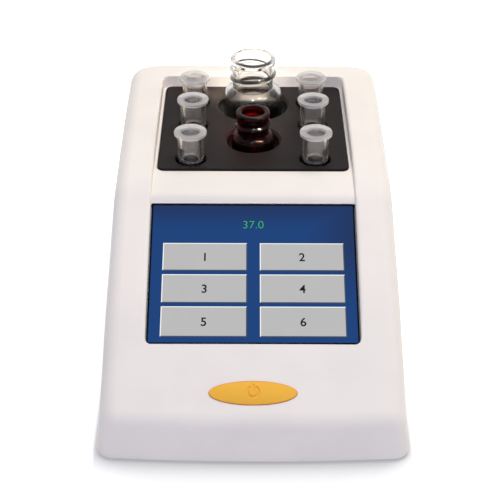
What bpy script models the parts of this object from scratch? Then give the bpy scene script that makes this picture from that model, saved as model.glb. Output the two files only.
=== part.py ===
"""Coagulation analyzer: a small benchtop instrument with a sloping touch display,
a heated block with eight wells under a dark plate, six cuvettes and two reagent vessels.

Metres, +Z up, +X to the right, +Y to the back. The origin is on the surface that the
instrument stands on, under the middle of its case.
"""
import math

import bmesh
import bpy
from mathutils import Matrix, Vector

# Fits that the whole instrument shares
GAP = 0.0003
OVERRUN = 0.006
WELD = 0.00001

# Case
FOOT_SPREAD = 0.0022
BACK_SPREAD = 0.0008
CASE_TOP = 0.065
FOOT_STAND = 0.0013
WALL = 0.0025
EDGE_RADIUS = 0.0055
BACK_CORNER_RADIUS = 0.0135
BACK_CORNER_BLEND = 0.030
BACK_EDGE_RADIUS = 0.0098
FACE_LIP = 0.0013
FRONT_BOW = 0.0019
DRAFT_DEG = 1.4

# Side outline of the case, from the level back to the nose
RAIL_RUN = 0.0445
FRONT_RUN = 0.0380
PLATE_TO_SHOULDER = 0.0120
RAIL_SLOPE_DEG = 5.0
DISPLAY_SLOPE_DEG = 27.5
FRONT_SLOPE_DEG = 33.0
FACE_SLOPE_DEG = 80.0
LEVEL_BEND = 0.6
SHOULDER_BEND = 0.030
KNEE_BEND = 0.115
NOSE_BEND = 0.0085

# Sunk channel between the rails
RAIL_WIDTH = 0.0151
BACK_RAIL = 0.0178
CHANNEL_DEPTH = 0.0049
CHANNEL_CORNER = 0.0025
CHANNEL_FLARE = 0.0014
FLARE_SHARE = 0.6
PLATFORM_LEVEL_MARGIN = 0.0031
PLATFORM_BEND = 0.0045
RISER_SLOPE_DEG = 60.0
RISER_HEIGHT = 0.0024

# Well plate and its seat in the channel floor
PLATE_MARGIN = 0.0013
PLATE_SIDE_MARGIN = 0.01215
PLATE_FRONT_MARGIN = 0.0078
PLATE_BACK_MARGIN = 0.0145
PLATE_THICKNESS = 0.0016
PLATE_PROUD = 0.0009
PLATE_CORNER = 0.0027
SEAT_LEDGE = 0.0015

# Wells: cuvettes in three rows on both sides, two vessels on the middle line
MEASURING_PITCH = 0.0264
INCUBATION_PITCH = 0.0191
BOTTLE_FORWARD = 0.0010
VIAL_BACKWARD = 0.0150
HOLE_BRIDGE = 0.00345
CUVETTE_HOLE_RADIUS = 0.00575
BOTTLE_HOLE_RADIUS = 0.01395
VIAL_HOLE_RADIUS = 0.01015
CUVETTE_HOLE_CHAMFER = 0.0004
VESSEL_HOLE_CHAMFER = 0.0009

# Cuvette
CUVETTE_LENGTH = 0.030
FLANGE_RADIUS = 0.0060
FLANGE_THICKNESS = 0.0010
CUVETTE_RADIUS = 0.0049
CUVETTE_FOOT_RADIUS = 0.0044
CUVETTE_FOOT_HEIGHT = 0.0005
CUVETTE_BORE = 0.0033
CUVETTE_MOUTH = 0.0036
CUVETTE_MOUTH_DEPTH = 0.0006
CUVETTE_FLOOR = 0.0014

# Clear reagent bottle
BOTTLE_HEIGHT = 0.046
BOTTLE_RADIUS = 0.0117
BOTTLE_NECK = 0.0081
BOTTLE_RIM = 0.0088
BOTTLE_RIM_HEIGHT = 0.0026
BOTTLE_THREAD = 0.0092
BOTTLE_BORE = 0.0064
BOTTLE_WALL = 0.0013
BOTTLE_NECK_LENGTH = 0.0122
BOTTLE_SHOULDER = 0.0050

# Amber reagent vial
VIAL_HEIGHT = 0.035
VIAL_RADIUS = 0.0082
VIAL_NECK = 0.0060
VIAL_RIM = 0.0064
VIAL_RIM_HEIGHT = 0.0018
VIAL_THREAD = 0.0069
VIAL_BORE = 0.0043
VIAL_WALL = 0.0011
VIAL_NECK_LENGTH = 0.0088
VIAL_SHOULDER = 0.0033

# Heating block and what lies under it
BLOCK_SIDE_MARGIN = 0.00315
BLOCK_BACK_MARGIN = 0.0034
BLOCK_FRONT_MARGIN = 0.0030
BLOCK_HEIGHT = 0.0253
CUVETTE_WELL_FLOOR = 0.0110
BOTTLE_WELL_FLOOR = 0.0041
VIAL_WELL_FLOOR = 0.0066
WELL_CLEARANCE = 0.0003
FOIL_MARGIN = 0.0015
FOIL_THICKNESS = 0.0008
PAD_MARGIN = 0.0005
PAD_THICKNESS = 0.0030
CARRIER_THICKNESS = 0.0025
CARRIER_EAR_RADIUS = 0.0045
CARRIER_BOSS_REACH = 0.0073
CARRIER_FRONT_MARGIN = 0.0218
CARRIER_BACK_MARGIN = 0.0083
PROBE_X = 0.015
PROBE_RADIUS = 0.0015
PROBE_LENGTH = 0.013
PROBE_HEAD_RADIUS = 0.0024
PROBE_HEAD_LENGTH = 0.0022
PROBE_DEPTH_BELOW_TOP = 0.0150

# Light path of the two measuring wells
LIGHT_DEPTH_BELOW_TOP = 0.0095
LENS_RADIUS = 0.0025
LENS_REACH = 0.0024
LAMP_LENGTH = 0.0060
LAMP_WIDTH = 0.0100
LAMP_HEIGHT = 0.0080

# Touch display
SHOULDER_MARGIN = 0.00497
KNEE_COVER = 0.00695
DISPLAY_DEPTH = 0.0022
GLASS_LENGTH = 0.0553
GLASS_THICKNESS = 0.0011
GLASS_CORNER = 0.0017
GLASS_UPPER_CORNER = 0.0004
WINDOW_CORNER = 0.0020
WINDOW_UPPER_CORNER = 0.0007
MODULE_OVERLAP = 0.0017
MODULE_END_OVERLAP = 0.00135
MODULE_THICKNESS = 0.0033
DISPLAY_BOARD_MARGIN = 0.0072
DISPLAY_BOARD_END_MARGIN = 0.00265
DISPLAY_BOSS_MARGIN = 0.0033
DISPLAY_BOSS_END_MARGIN = 0.0035

# Power button
BUTTON_SETBACK = 0.0270
BUTTON_WIDTH = 0.0292
BUTTON_LENGTH = 0.0079
BUTTON_PROUD = 0.0012
BUTTON_EDGE = 0.0006
BUTTON_FLANGE = 0.0015
BUTTON_FLANGE_THICKNESS = 0.0012
BUTTON_TRAVEL = 0.0010
BUTTON_POST_RADIUS = 0.0020
BUTTON_POST_LENGTH = 0.0020
POWER_MARK_RADIUS = 0.0020
POWER_MARK_WIDTH = 0.0004
POWER_MARK_DEPTH = 0.0003
POWER_MARK_OPENING_DEG = 70
SWITCH_SIZE = 0.0060
SWITCH_HEIGHT = 0.0035
BUTTON_BOARD_END = 0.0038
BUTTON_BOARD_LENGTH = 0.0105
BUTTON_BOSS_CLEARANCE = 0.0006

# Boards and what stands on them
BOARD_THICKNESS = 0.0016
MAIN_BOARD_SIDE_MARGIN = 0.0137
MAIN_BOARD_FRONT_MARGIN = 0.0495
MAIN_BOARD_BACK_MARGIN = 0.0055
MAIN_BOARD_STAND = 0.0054
BOARD_BOSS_SIDE_MARGIN = 0.005
BOARD_BOSS_FRONT_MARGIN = 0.006
BOARD_BOSS_BACK_MARGIN = 0.022
PROCESSOR_SIZE = 0.014
PROCESSOR_HEIGHT = 0.0014
PROCESSOR_FORWARD = 0.018
BUZZER_RADIUS = 0.006
BUZZER_HEIGHT = 0.006
BUZZER_SIDE_MARGIN = 0.016
BUZZER_FRONT_MARGIN = 0.022
RIBBON_WIDTH = 0.016
RIBBON_THICKNESS = 0.0003
RIBBON_BEND = 0.004
RIBBON_LANDING = 0.006

# Sockets in the back wall
SOCKET_SUNK = 0.0004
DC_INLET_X = -0.024
DC_INLET_WIDTH = 0.009
DC_INLET_HEIGHT = 0.011
DC_INLET_LENGTH = 0.0135
DC_BORE_RADIUS = 0.0031
DC_BORE_DEPTH = 0.0095
DC_PIN_RADIUS = 0.0010
DATA_SOCKET_X = 0.020
DATA_SOCKET_WIDTH = 0.0145
DATA_SOCKET_HEIGHT = 0.0120
DATA_SOCKET_LENGTH = 0.0155
DATA_HOLLOW_WIDTH = 0.0115
DATA_HOLLOW_HEIGHT = 0.0075
DATA_HOLLOW_DEPTH = 0.0120

# Base pan, feet, bosses and screws
PAN_THICKNESS = 0.0025
FOOT_RADIUS = 0.0055
FOOT_SUNK = 0.0008
FOOT_SIDE_MARGIN = 0.0208
BOSS_RADIUS = 0.0035
CASE_BOSS_MARGIN = 0.0094
FRONT_FIXING_MARGIN = 0.0195
BACK_FIXING_MARGIN = 0.0135
SHANK_RADIUS = 0.0012
HEAD_RADIUS = 0.0024
HEAD_HEIGHT = 0.0011
CASE_SHANK_LENGTH = 0.011
CARRIER_SHANK_LENGTH = 0.009
DISPLAY_SHANK_LENGTH = 0.0055
BOARD_SHANK_LENGTH = 0.0045

# Smoothness
ROUND_STEPS = 24
VESSEL_STEPS = 32
SCREW_STEPS = 10
CORNER_STEPS = 5
EDGE_STEPS = 5
BOW_STEPS = 6
OVAL_STEPS = 36
THREAD_BANDS = 5
RIDGED_BANDS = (1, 3)

# Sizes and places that follow from the sizes above
CUVETTE_HALF_SPACING = BOTTLE_HOLE_RADIUS + HOLE_BRIDGE + CUVETTE_HOLE_RADIUS
PLATE_WIDTH = 2 * (CUVETTE_HALF_SPACING + PLATE_SIDE_MARGIN)
PLATE_DEPTH = PLATE_FRONT_MARGIN + MEASURING_PITCH + INCUBATION_PITCH + PLATE_BACK_MARGIN
CHANNEL_WIDTH = PLATE_WIDTH + 2 * PLATE_MARGIN
UPPER_WIDTH = CHANNEL_WIDTH + 2 * RAIL_WIDTH
FOOT_WIDTH = UPPER_WIDTH + FOOT_SPREAD
GLASS_WIDTH = CHANNEL_WIDTH - 2 * GAP
GLASS_RUN = GLASS_LENGTH * math.cos(math.radians(DISPLAY_SLOPE_DEG))
DISPLAY_RUN = GLASS_RUN - KNEE_COVER
DISPLAY_SETBACK = GLASS_RUN / 2 + SHOULDER_MARGIN
CASE_LENGTH = BACK_RAIL + PLATE_MARGIN + PLATE_DEPTH + PLATE_TO_SHOULDER + DISPLAY_RUN + FRONT_RUN
CASE_FRONT = -CASE_LENGTH / 2
CASE_BACK = CASE_LENGTH / 2
CHANNEL_BACK = CASE_BACK - BACK_RAIL
PLATE_BACK = CHANNEL_BACK - PLATE_MARGIN
PLATE_FRONT = PLATE_BACK - PLATE_DEPTH
PLATE_Y = (PLATE_FRONT + PLATE_BACK) / 2
PLATFORM_LEVEL_FRONT = PLATE_FRONT - PLATFORM_LEVEL_MARGIN
SHOULDER_Y = PLATE_FRONT - PLATE_TO_SHOULDER
KNEE_Y = SHOULDER_Y - DISPLAY_RUN
LEVEL_END_Y = SHOULDER_Y + RAIL_RUN
MEASURING_Y = PLATE_FRONT + PLATE_FRONT_MARGIN
FRONT_INCUBATION_Y = MEASURING_Y + MEASURING_PITCH
BACK_INCUBATION_Y = FRONT_INCUBATION_Y + INCUBATION_PITCH
CUVETTE_YS = (MEASURING_Y, FRONT_INCUBATION_Y, BACK_INCUBATION_Y)
BOTTLE_Y = BACK_INCUBATION_Y - BOTTLE_FORWARD
VIAL_Y = MEASURING_Y + VIAL_BACKWARD
BLOCK_WIDTH = 2 * (CUVETTE_HALF_SPACING + CUVETTE_RADIUS + WELL_CLEARANCE + BLOCK_SIDE_MARGIN)
BLOCK_FRONT = MEASURING_Y - CUVETTE_RADIUS - WELL_CLEARANCE - BLOCK_FRONT_MARGIN
BLOCK_BACK = BOTTLE_Y + BOTTLE_RADIUS + WELL_CLEARANCE + BLOCK_BACK_MARGIN
CARRIER_BOSS_X = BLOCK_WIDTH / 2 + CARRIER_BOSS_REACH
CARRIER_BOSS_YS = (BLOCK_FRONT + CARRIER_FRONT_MARGIN, BLOCK_BACK - CARRIER_BACK_MARGIN)
DISPLAY_Y = SHOULDER_Y - DISPLAY_SETBACK
MODULE_WIDTH = GLASS_WIDTH + 2 * MODULE_OVERLAP
MODULE_LENGTH = GLASS_LENGTH + 2 * MODULE_END_OVERLAP
DISPLAY_BOARD_WIDTH = UPPER_WIDTH - 2 * DISPLAY_BOARD_MARGIN
DISPLAY_BOARD_LENGTH = GLASS_LENGTH - 2 * DISPLAY_BOARD_END_MARGIN
DISPLAY_BOSS_X = DISPLAY_BOARD_WIDTH / 2 - DISPLAY_BOSS_MARGIN
DISPLAY_BOSS_Y = DISPLAY_BOARD_LENGTH / 2 - DISPLAY_BOSS_END_MARGIN
BUTTON_Y = KNEE_Y - BUTTON_SETBACK
BUTTON_BOSS_X = BUTTON_WIDTH / 2 + BUTTON_FLANGE + BUTTON_BOSS_CLEARANCE + BOSS_RADIUS
BUTTON_BOARD_WIDTH = 2 * (BUTTON_BOSS_X + BUTTON_BOARD_END)
MAIN_BOARD_WIDTH = UPPER_WIDTH - 2 * MAIN_BOARD_SIDE_MARGIN
MAIN_BOARD_FRONT = CASE_FRONT + MAIN_BOARD_FRONT_MARGIN
MAIN_BOARD_BACK = CASE_BACK - MAIN_BOARD_BACK_MARGIN
MAIN_BOARD_LENGTH = MAIN_BOARD_BACK - MAIN_BOARD_FRONT
MAIN_BOARD_Y = (MAIN_BOARD_FRONT + MAIN_BOARD_BACK) / 2
BOARD_BOSS_X = MAIN_BOARD_WIDTH / 2 - BOARD_BOSS_SIDE_MARGIN
BOARD_BOSS_YS = (MAIN_BOARD_FRONT + BOARD_BOSS_FRONT_MARGIN, MAIN_BOARD_BACK - BOARD_BOSS_BACK_MARGIN)
PROCESSOR_Y = MAIN_BOARD_Y - PROCESSOR_FORWARD
BUZZER_X = MAIN_BOARD_WIDTH / 2 - BUZZER_SIDE_MARGIN
BUZZER_Y = MAIN_BOARD_FRONT + BUZZER_FRONT_MARGIN
FOOT_X = FOOT_WIDTH / 2 - FOOT_SIDE_MARGIN
CASE_BOSS_X = FOOT_WIDTH / 2 - CASE_BOSS_MARGIN
FIXING_YS = (CASE_FRONT + FRONT_FIXING_MARGIN, CASE_BACK - BACK_FIXING_MARGIN)
CASE_BOTTOM = FOOT_STAND
CHANNEL_FLOOR = CASE_TOP - CHANNEL_DEPTH
PLATE_TOP = CHANNEL_FLOOR + PLATE_PROUD
PLATE_BOTTOM = PLATE_TOP - PLATE_THICKNESS
SEAT_FLOOR = PLATE_BOTTOM - GAP
FLOOR_UNDERSIDE = SEAT_FLOOR - WALL
BLOCK_TOP = FLOOR_UNDERSIDE - GAP
BLOCK_BOTTOM = BLOCK_TOP - BLOCK_HEIGHT
FOIL_TOP = BLOCK_BOTTOM - GAP
PAD_TOP = FOIL_TOP - FOIL_THICKNESS - GAP
CARRIER_TOP = PAD_TOP - PAD_THICKNESS - GAP
CARRIER_BOTTOM = CARRIER_TOP - CARRIER_THICKNESS
CUVETTE_BOTTOM = BLOCK_BOTTOM + CUVETTE_WELL_FLOOR + GAP
BOTTLE_BOTTOM = BLOCK_BOTTOM + BOTTLE_WELL_FLOOR + GAP
VIAL_BOTTOM = BLOCK_BOTTOM + VIAL_WELL_FLOOR + GAP
LIGHT_Z = BLOCK_TOP - LIGHT_DEPTH_BELOW_TOP
PROBE_Z = BLOCK_TOP - PROBE_DEPTH_BELOW_TOP
PAN_TOP = CASE_BOTTOM + PAN_THICKNESS
MAIN_BOARD_BOTTOM = PAN_TOP + MAIN_BOARD_STAND + GAP
MAIN_BOARD_TOP = MAIN_BOARD_BOTTOM + BOARD_THICKNESS


def tangent(degrees):
    """Rise per length of a slope."""
    return math.tan(math.radians(degrees))


def meeting_point(first, first_slope, second, second_slope):
    """Where two lines in the side view cross, each given by a point and its slope."""
    rise_a = tangent(first_slope)
    rise_b = tangent(second_slope)
    y = (second[1] - first[1] + rise_a * first[0] - rise_b * second[0]) / (rise_a - rise_b)
    return y, first[1] + rise_a * (y - first[0])


def rounded_path(corners, radii, steps):
    """Points along straight lines whose inner corners are rounded with the given radii."""
    points = [Vector(corners[0])]
    for before, corner, after, radius in zip(corners, corners[1:], corners[2:], radii):
        corner = Vector(corner)
        back = (Vector(before) - corner).normalized()
        ahead = (Vector(after) - corner).normalized()
        half = back.angle(ahead) / 2
        reach = radius / math.tan(half)
        centre = corner + (back + ahead).normalized() * radius / math.sin(half)
        start = (corner + back * reach - centre) / radius
        end = (corner + ahead * reach - centre) / radius
        for step in range(steps + 1):
            points.append(centre + start.slerp(end, step / steps) * radius)
    points.append(Vector(corners[-1]))
    return points


def moved_inward(path, distance):
    """The path moved to its left, which is inward for a path over the top from back to front."""
    neighbours = zip(path[:1] + path[:-1], path, path[1:] + path[-1:])
    moved = []
    for before, point, after in neighbours:
        along = (after - before).normalized()
        moved.append(point + Vector((-along.y, along.x)) * distance)
    return moved


def height_on(path, y):
    """Height of a path, which runs from back to front, at one place along the case."""
    for back, front in zip(path, path[1:]):
        if front.x <= y <= back.x and back.x > front.x:
            return front.y + (back.y - front.y) * (y - front.x) / (back.x - front.x)
    return path[0].y if y > path[0].x else path[-1].y


def side_corners():
    """Corners of the case's side outline, from the foot of its back wall to its front edge."""
    level_end = (LEVEL_END_Y, CASE_TOP)
    shoulder = (SHOULDER_Y, CASE_TOP - RAIL_RUN * tangent(RAIL_SLOPE_DEG))
    knee = (KNEE_Y, shoulder[1] - DISPLAY_RUN * tangent(DISPLAY_SLOPE_DEG))
    front_edge = (CASE_FRONT, CASE_BOTTOM + FACE_LIP)
    nose = meeting_point(knee, FRONT_SLOPE_DEG, front_edge, FACE_SLOPE_DEG)
    return [(CASE_BACK, CASE_BOTTOM), (CASE_BACK, CASE_TOP), level_end, shoulder, knee, nose, front_edge]


def side_path():
    """The case's side outline, without its straight back wall."""
    bends = [BACK_EDGE_RADIUS, LEVEL_BEND, SHOULDER_BEND, KNEE_BEND, NOSE_BEND]
    return rounded_path(side_corners(), bends, EDGE_STEPS)[1:]


def set_back(depth, radius):
    """How far a round edge stands back from its plane, at a depth from the plane beside it."""
    if depth >= radius:
        return 0.0
    return radius - math.sqrt(max(0.0, radius ** 2 - (radius - depth) ** 2))


def front_bow(x, y):
    """How far the front stands back from a straight line at x, fading out behind the knee."""
    reach = max(0.0, (KNEE_Y - y) / (KNEE_Y - CASE_FRONT))
    return FRONT_BOW * (2 * x / FOOT_WIDTH) ** 2 * reach ** 2


def back_corner(depth, y, inset):
    """How far the back stands in near its upright corners, beyond the round edge itself."""
    reach = max(0.0, 1 - (CASE_BACK - y) / BACK_CORNER_BLEND)
    extra = set_back(depth, BACK_CORNER_RADIUS - inset) - set_back(depth, EDGE_RADIUS - inset)
    return extra * reach


def edge_height(y):
    """Height at which the round upper edge of the side wall starts."""
    corners = [Vector(corner) for corner in side_corners()[1:6]]
    return height_on(corners, min(max(y, corners[-1].x), corners[0].x)) - EDGE_RADIUS


def case_half_width(y, z):
    """Half the case's width: each side runs straight from its foot to its upper edge."""
    edge = edge_height(y)
    spread = BACK_SPREAD * max(0.0, (y - SHOULDER_Y) / (CASE_BACK - SHOULDER_Y))
    upper = UPPER_WIDTH - 2 * (edge - CASE_BOTTOM) * tangent(DRAFT_DEG) + spread
    share = (z - CASE_BOTTOM) / (edge - CASE_BOTTOM)
    return (FOOT_WIDTH + (upper - FOOT_WIDTH) * share) / 2


def case_depths(inset):
    """Distances in from the side at which the case is outlined, with how far its edge stands back."""
    radius = EDGE_RADIUS - inset
    corner = BACK_CORNER_RADIUS - inset
    depths = []
    for step in range(EDGE_STEPS + 1):
        depths.append(radius * (1 - math.cos(math.pi / 2 * step / EDGE_STEPS)))
    return depths + [(radius + corner) / 2, corner]


def case_ring(side, depth, share, inset, bottom):
    """Side outline of the case at one depth in from its side, or at a share of its half width."""
    moved = inset + set_back(depth, EDGE_RADIUS - inset)
    path = moved_inward(side_path(), moved)
    over = [(point.x, point.y) for point in path]
    ring = over + [(y, bottom) for y, _ in reversed(over)]
    points = []
    for y, z in ring:
        half = case_half_width(y, z) - inset
        x = side * (half - depth) * share
        points.append((x, y + front_bow(x, y) - back_corner(half - abs(x), y, inset), z))
    return points


def case_body(name, inset, bottom):
    """The case's outside, or its inside for an inset: side outlines joined across the width."""
    depths = case_depths(inset)
    left = [case_ring(-1, depth, 1, inset, bottom) for depth in depths]
    inner = [1 - 2 * step / BOW_STEPS for step in range(1, BOW_STEPS)]
    middle = [case_ring(-1, depths[-1], share, inset, bottom) for share in inner]
    right = [case_ring(1, depth, 1, inset, bottom) for depth in reversed(depths)]
    splits = [(step, -1 - step) for step in range(1, len(left[0]) // 2 - 1)]
    return loft_mesh(name, left + middle + right, splits)


def display_frame():
    """Middle of the glass's front face, +Y up the slope and +Z out of the display."""
    slope = math.radians(DISPLAY_SLOPE_DEG)
    surface = side_corners()[3][1] - DISPLAY_SETBACK * math.tan(slope)
    middle = Vector((0, DISPLAY_Y, surface - DISPLAY_DEPTH / math.cos(slope)))
    return Matrix.Translation(middle) @ Matrix.Rotation(slope, 4, "X")


def button_frame():
    """Middle of the button on the case's front slope, +Z out of the case."""
    slope = math.radians(FRONT_SLOPE_DEG)
    surface = side_corners()[4][1] - BUTTON_SETBACK * math.tan(slope)
    return Matrix.Translation((0, BUTTON_Y, surface)) @ Matrix.Rotation(slope, 4, "X")


def window_end():
    """Where the glass's upper edge meets the riser, in the side view."""
    edge = display_frame() @ Vector((0, GLASS_LENGTH / 2 + GAP, 0))
    return edge.y, edge.z


def channel_corners():
    """Corners of the channel's floor: level, sloping, then down the riser to the glass."""
    foot = window_end()
    lip = (foot[0] + RISER_HEIGHT / tangent(RISER_SLOPE_DEG), foot[1] + RISER_HEIGHT)
    return [(CHANNEL_BACK, CHANNEL_FLOOR), (PLATFORM_LEVEL_FRONT, CHANNEL_FLOOR), lip, foot]


def material(name, colour, roughness, metallic=0.0):
    """A plain surface."""
    made = bpy.data.materials.new(name)
    made.use_nodes = True
    shader = made.node_tree.nodes["Principled BSDF"]
    shader.inputs["Base Color"].default_value = (*colour, 1.0)
    shader.inputs["Roughness"].default_value = roughness
    shader.inputs["Metallic"].default_value = metallic
    made.diffuse_color = (*colour, 1.0)
    return made


def mesh_from(build, name):
    """A mesh made by the modelling tools, with its faces turned outward."""
    shape = bmesh.new()
    build(shape)
    bmesh.ops.recalc_face_normals(shape, faces=shape.faces)
    mesh = bpy.data.meshes.new(name)
    shape.to_mesh(mesh)
    shape.free()
    return mesh


def place(name, mesh, surface=None, matrix=None):
    """An object in the scene."""
    made = bpy.data.objects.new(name, mesh)
    bpy.context.collection.objects.link(made)
    if matrix is not None:
        made.matrix_world = matrix
    if surface is not None:
        mesh.materials.clear()
        mesh.materials.append(surface)
    return made


def loft_mesh(name, rings, splits=()):
    """A closed skin over rings with equal numbers of points, its end faces split along the given pairs."""
    def build(shape):
        rows = [[shape.verts.new(point) for point in ring] for ring in rings]
        for row, following in zip(rows, rows[1:]):
            for index in range(len(row)):
                after = (index + 1) % len(row)
                shape.faces.new((row[index], row[after], following[after], following[index]))
        for row in (rows[0], rows[-1]):
            shape.faces.new(row)
            for first, second in splits:
                face = next(item for item in row[first].link_faces if row[second] in item.verts)
                bmesh.utils.face_split(face, row[first], row[second])
    return mesh_from(build, name)


def turned_mesh(name, profile, steps):
    """A profile of radius and height, spun round the Z axis, with its seam merged."""
    def build(shape):
        points = [shape.verts.new((radius, 0, height)) for radius, height in profile]
        edges = [shape.edges.new(pair) for pair in zip(points, points[1:])]
        bmesh.ops.spin(shape, geom=points + edges, cent=(0, 0, 0), axis=(0, 0, 1),
                       angle=math.tau, steps=steps, use_merge=True)
        bmesh.ops.remove_doubles(shape, verts=shape.verts, dist=WELD)
    mesh = mesh_from(build, name)
    mesh.shade_smooth()
    mesh.set_sharp_from_angle(angle=math.radians(40))
    return mesh


def prism_mesh(name, outline, bottom, top):
    """A flat outline raised from one height to another."""
    def build(shape):
        face = shape.faces.new([shape.verts.new((x, y, bottom)) for x, y in outline])
        raised = bmesh.ops.extrude_face_region(shape, geom=[face])
        verts = [item for item in raised["geom"] if isinstance(item, bmesh.types.BMVert)]
        bmesh.ops.translate(shape, verts=verts, vec=(0, 0, top - bottom))
    return mesh_from(build, name)


def rounded_rectangle(width, length, lower_radius, centre=(0, 0), upper_radius=None):
    """Outline of a rectangle with round corners, whose upper pair may have a radius of their own."""
    corners = [(1, 1, 0), (-1, 1, 1), (-1, -1, 2), (1, -1, 3)]
    outline = []
    for side_x, side_y, quarter in corners:
        radius = upper_radius if side_y > 0 and upper_radius else lower_radius
        for step in range(CORNER_STEPS + 1):
            angle = math.pi / 2 * (quarter + step / CORNER_STEPS)
            outline.append((centre[0] + side_x * (width / 2 - radius) + radius * math.cos(angle),
                            centre[1] + side_y * (length / 2 - radius) + radius * math.sin(angle)))
    return outline


def box_mesh(name, low, high):
    """A box between two corners."""
    size = [b - a for a, b in zip(low, high)]
    middle = [(a + b) / 2 for a, b in zip(low, high)]

    def build(shape):
        bmesh.ops.create_cube(shape, size=1, matrix=Matrix.Translation(middle) @ Matrix.Diagonal((*size, 1)))
    return mesh_from(build, name)


def cylinder_mesh(name, radius, bottom, top, steps=ROUND_STEPS):
    """An upright cylinder on the Z axis."""
    def build(shape):
        bmesh.ops.create_cone(shape, cap_ends=True, segments=steps, radius1=radius, radius2=radius,
                              depth=top - bottom, matrix=Matrix.Translation((0, 0, (top + bottom) / 2)))
    return mesh_from(build, name)


def combine(target, operation, mesh, matrix=None):
    """Cut a shape out of the target, or join it on, and drop the shape."""
    tool = place("tool", mesh, matrix=matrix)
    modifier = target.modifiers.new(operation.lower(), "BOOLEAN")
    modifier.operation = operation
    modifier.solver = "EXACT"
    modifier.object = tool
    bpy.context.view_layer.update()
    depsgraph = bpy.context.evaluated_depsgraph_get()
    result = bpy.data.meshes.new_from_object(target.evaluated_get(depsgraph))
    target.modifiers.clear()
    previous = target.data
    target.data = result
    result.name = previous.name
    bpy.data.meshes.remove(previous)
    bpy.data.objects.remove(tool)
    bpy.data.meshes.remove(mesh)


def cut(target, mesh, matrix=None):
    combine(target, "DIFFERENCE", mesh, matrix)


def join(target, mesh, matrix=None):
    combine(target, "UNION", mesh, matrix)


def finish_round(item):
    """Smooth the round faces and keep the edges crisp."""
    item.data.shade_smooth()
    item.data.set_sharp_from_angle(angle=math.radians(35))


def at(x, y, z=0.0):
    return Matrix.Translation((x, y, z))


def mirrored_places(x, ys):
    """Four places, two on each side."""
    return [(side * x, y) for y in ys for side in (-1, 1)]


def cuvette_places():
    """The six cuvettes, front pair first, left before right."""
    return mirrored_places(CUVETTE_HALF_SPACING, CUVETTE_YS)


def plate_hole_mesh(radius, chamfer):
    """Cutter for one hole through the plate, with a chamfered mouth."""
    profile = [(0, PLATE_BOTTOM - OVERRUN), (radius, PLATE_BOTTOM - OVERRUN), (radius, PLATE_TOP - chamfer),
               (radius + chamfer, PLATE_TOP), (radius + chamfer, PLATE_TOP + OVERRUN), (0, PLATE_TOP + OVERRUN)]
    return turned_mesh("plate_hole", profile, ROUND_STEPS)


def well_places():
    """Every well: its place, the plate's hole, the vessel's radius and the height it stands at."""
    wells = [(x, y, CUVETTE_HOLE_RADIUS, CUVETTE_HOLE_CHAMFER, CUVETTE_RADIUS, CUVETTE_BOTTOM)
             for x, y in cuvette_places()]
    wells.append((0, BOTTLE_Y, BOTTLE_HOLE_RADIUS, VESSEL_HOLE_CHAMFER, BOTTLE_RADIUS, BOTTLE_BOTTOM))
    wells.append((0, VIAL_Y, VIAL_HOLE_RADIUS, VESSEL_HOLE_CHAMFER, VIAL_RADIUS, VIAL_BOTTOM))
    return wells


def channel_mesh():
    """Cutter for the sunk channel: between the rails, with a round edge along each rail."""
    floor = rounded_path(channel_corners(), [PLATFORM_BEND, PLATFORM_BEND], CORNER_STEPS)
    slope = math.radians(DISPLAY_SLOPE_DEG)
    end = display_frame() @ Vector((0, -GAP - GLASS_LENGTH / 2, 0))
    floor.append(Vector((end.y, window_end()[1] - (window_end()[0] - end.y) * math.tan(slope))))
    rails = side_path()
    arc = [1 - math.cos(math.pi / 2 * step / CORNER_STEPS) for step in range(CORNER_STEPS + 1)]
    places = [CHANNEL_BACK - CHANNEL_CORNER * share for share in arc]
    places += [floor[-1].x + WINDOW_CORNER * share for share in arc]
    places += [point.x for point in floor] + [point.x for point in rails]
    stations = [CHANNEL_BACK]
    for y in sorted(places, reverse=True):
        if floor[-1].x + GAP < y < stations[-1] - GAP:
            stations.append(y)
    stations.append(floor[-1].x)
    rings = []
    for y in stations:
        half = CHANNEL_WIDTH / 2 - set_back(CHANNEL_BACK - y, CHANNEL_CORNER)
        half -= set_back(y - floor[-1].x, WINDOW_CORNER)
        top = height_on(rails, y)
        depth = top - height_on(floor, y)
        flare = max(GAP, min(CHANNEL_FLARE, depth * FLARE_SHARE, (y - floor[-1].x) * FLARE_SHARE))
        right = [(half, height_on(floor, y))]
        for step in range(CORNER_STEPS + 1):
            angle = math.pi / 2 * step / CORNER_STEPS
            right.append((half + flare * (1 - math.cos(angle)), top - flare + flare * math.sin(angle)))
        right.append((half + flare, top + OVERRUN))
        left = [(-x, z) for x, z in reversed(right)]
        rings.append([(x, y, z) for x, z in right + left])
    return loft_mesh("channel", rings)


def tub_mesh():
    """The walls and floor kept round the channel: a block over its outside."""
    floor = moved_inward(rounded_path(channel_corners(), [PLATFORM_BEND, PLATFORM_BEND], CORNER_STEPS), WALL)
    lowered = SEAT_FLOOR - WALL
    half = CHANNEL_WIDTH / 2 + WALL
    seat_front = PLATE_FRONT - GAP - WALL
    outline = [(CHANNEL_BACK + WALL, CASE_TOP + OVERRUN), (CHANNEL_BACK + WALL, lowered), (seat_front, lowered)]
    outline += [(point.x, point.y) for point in floor if point.x < seat_front - GAP]
    outline.append((outline[-1][0], CASE_TOP + OVERRUN))
    return loft_mesh("tub", [[(x, y, z) for y, z in outline] for x in (-half, half)])


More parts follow.
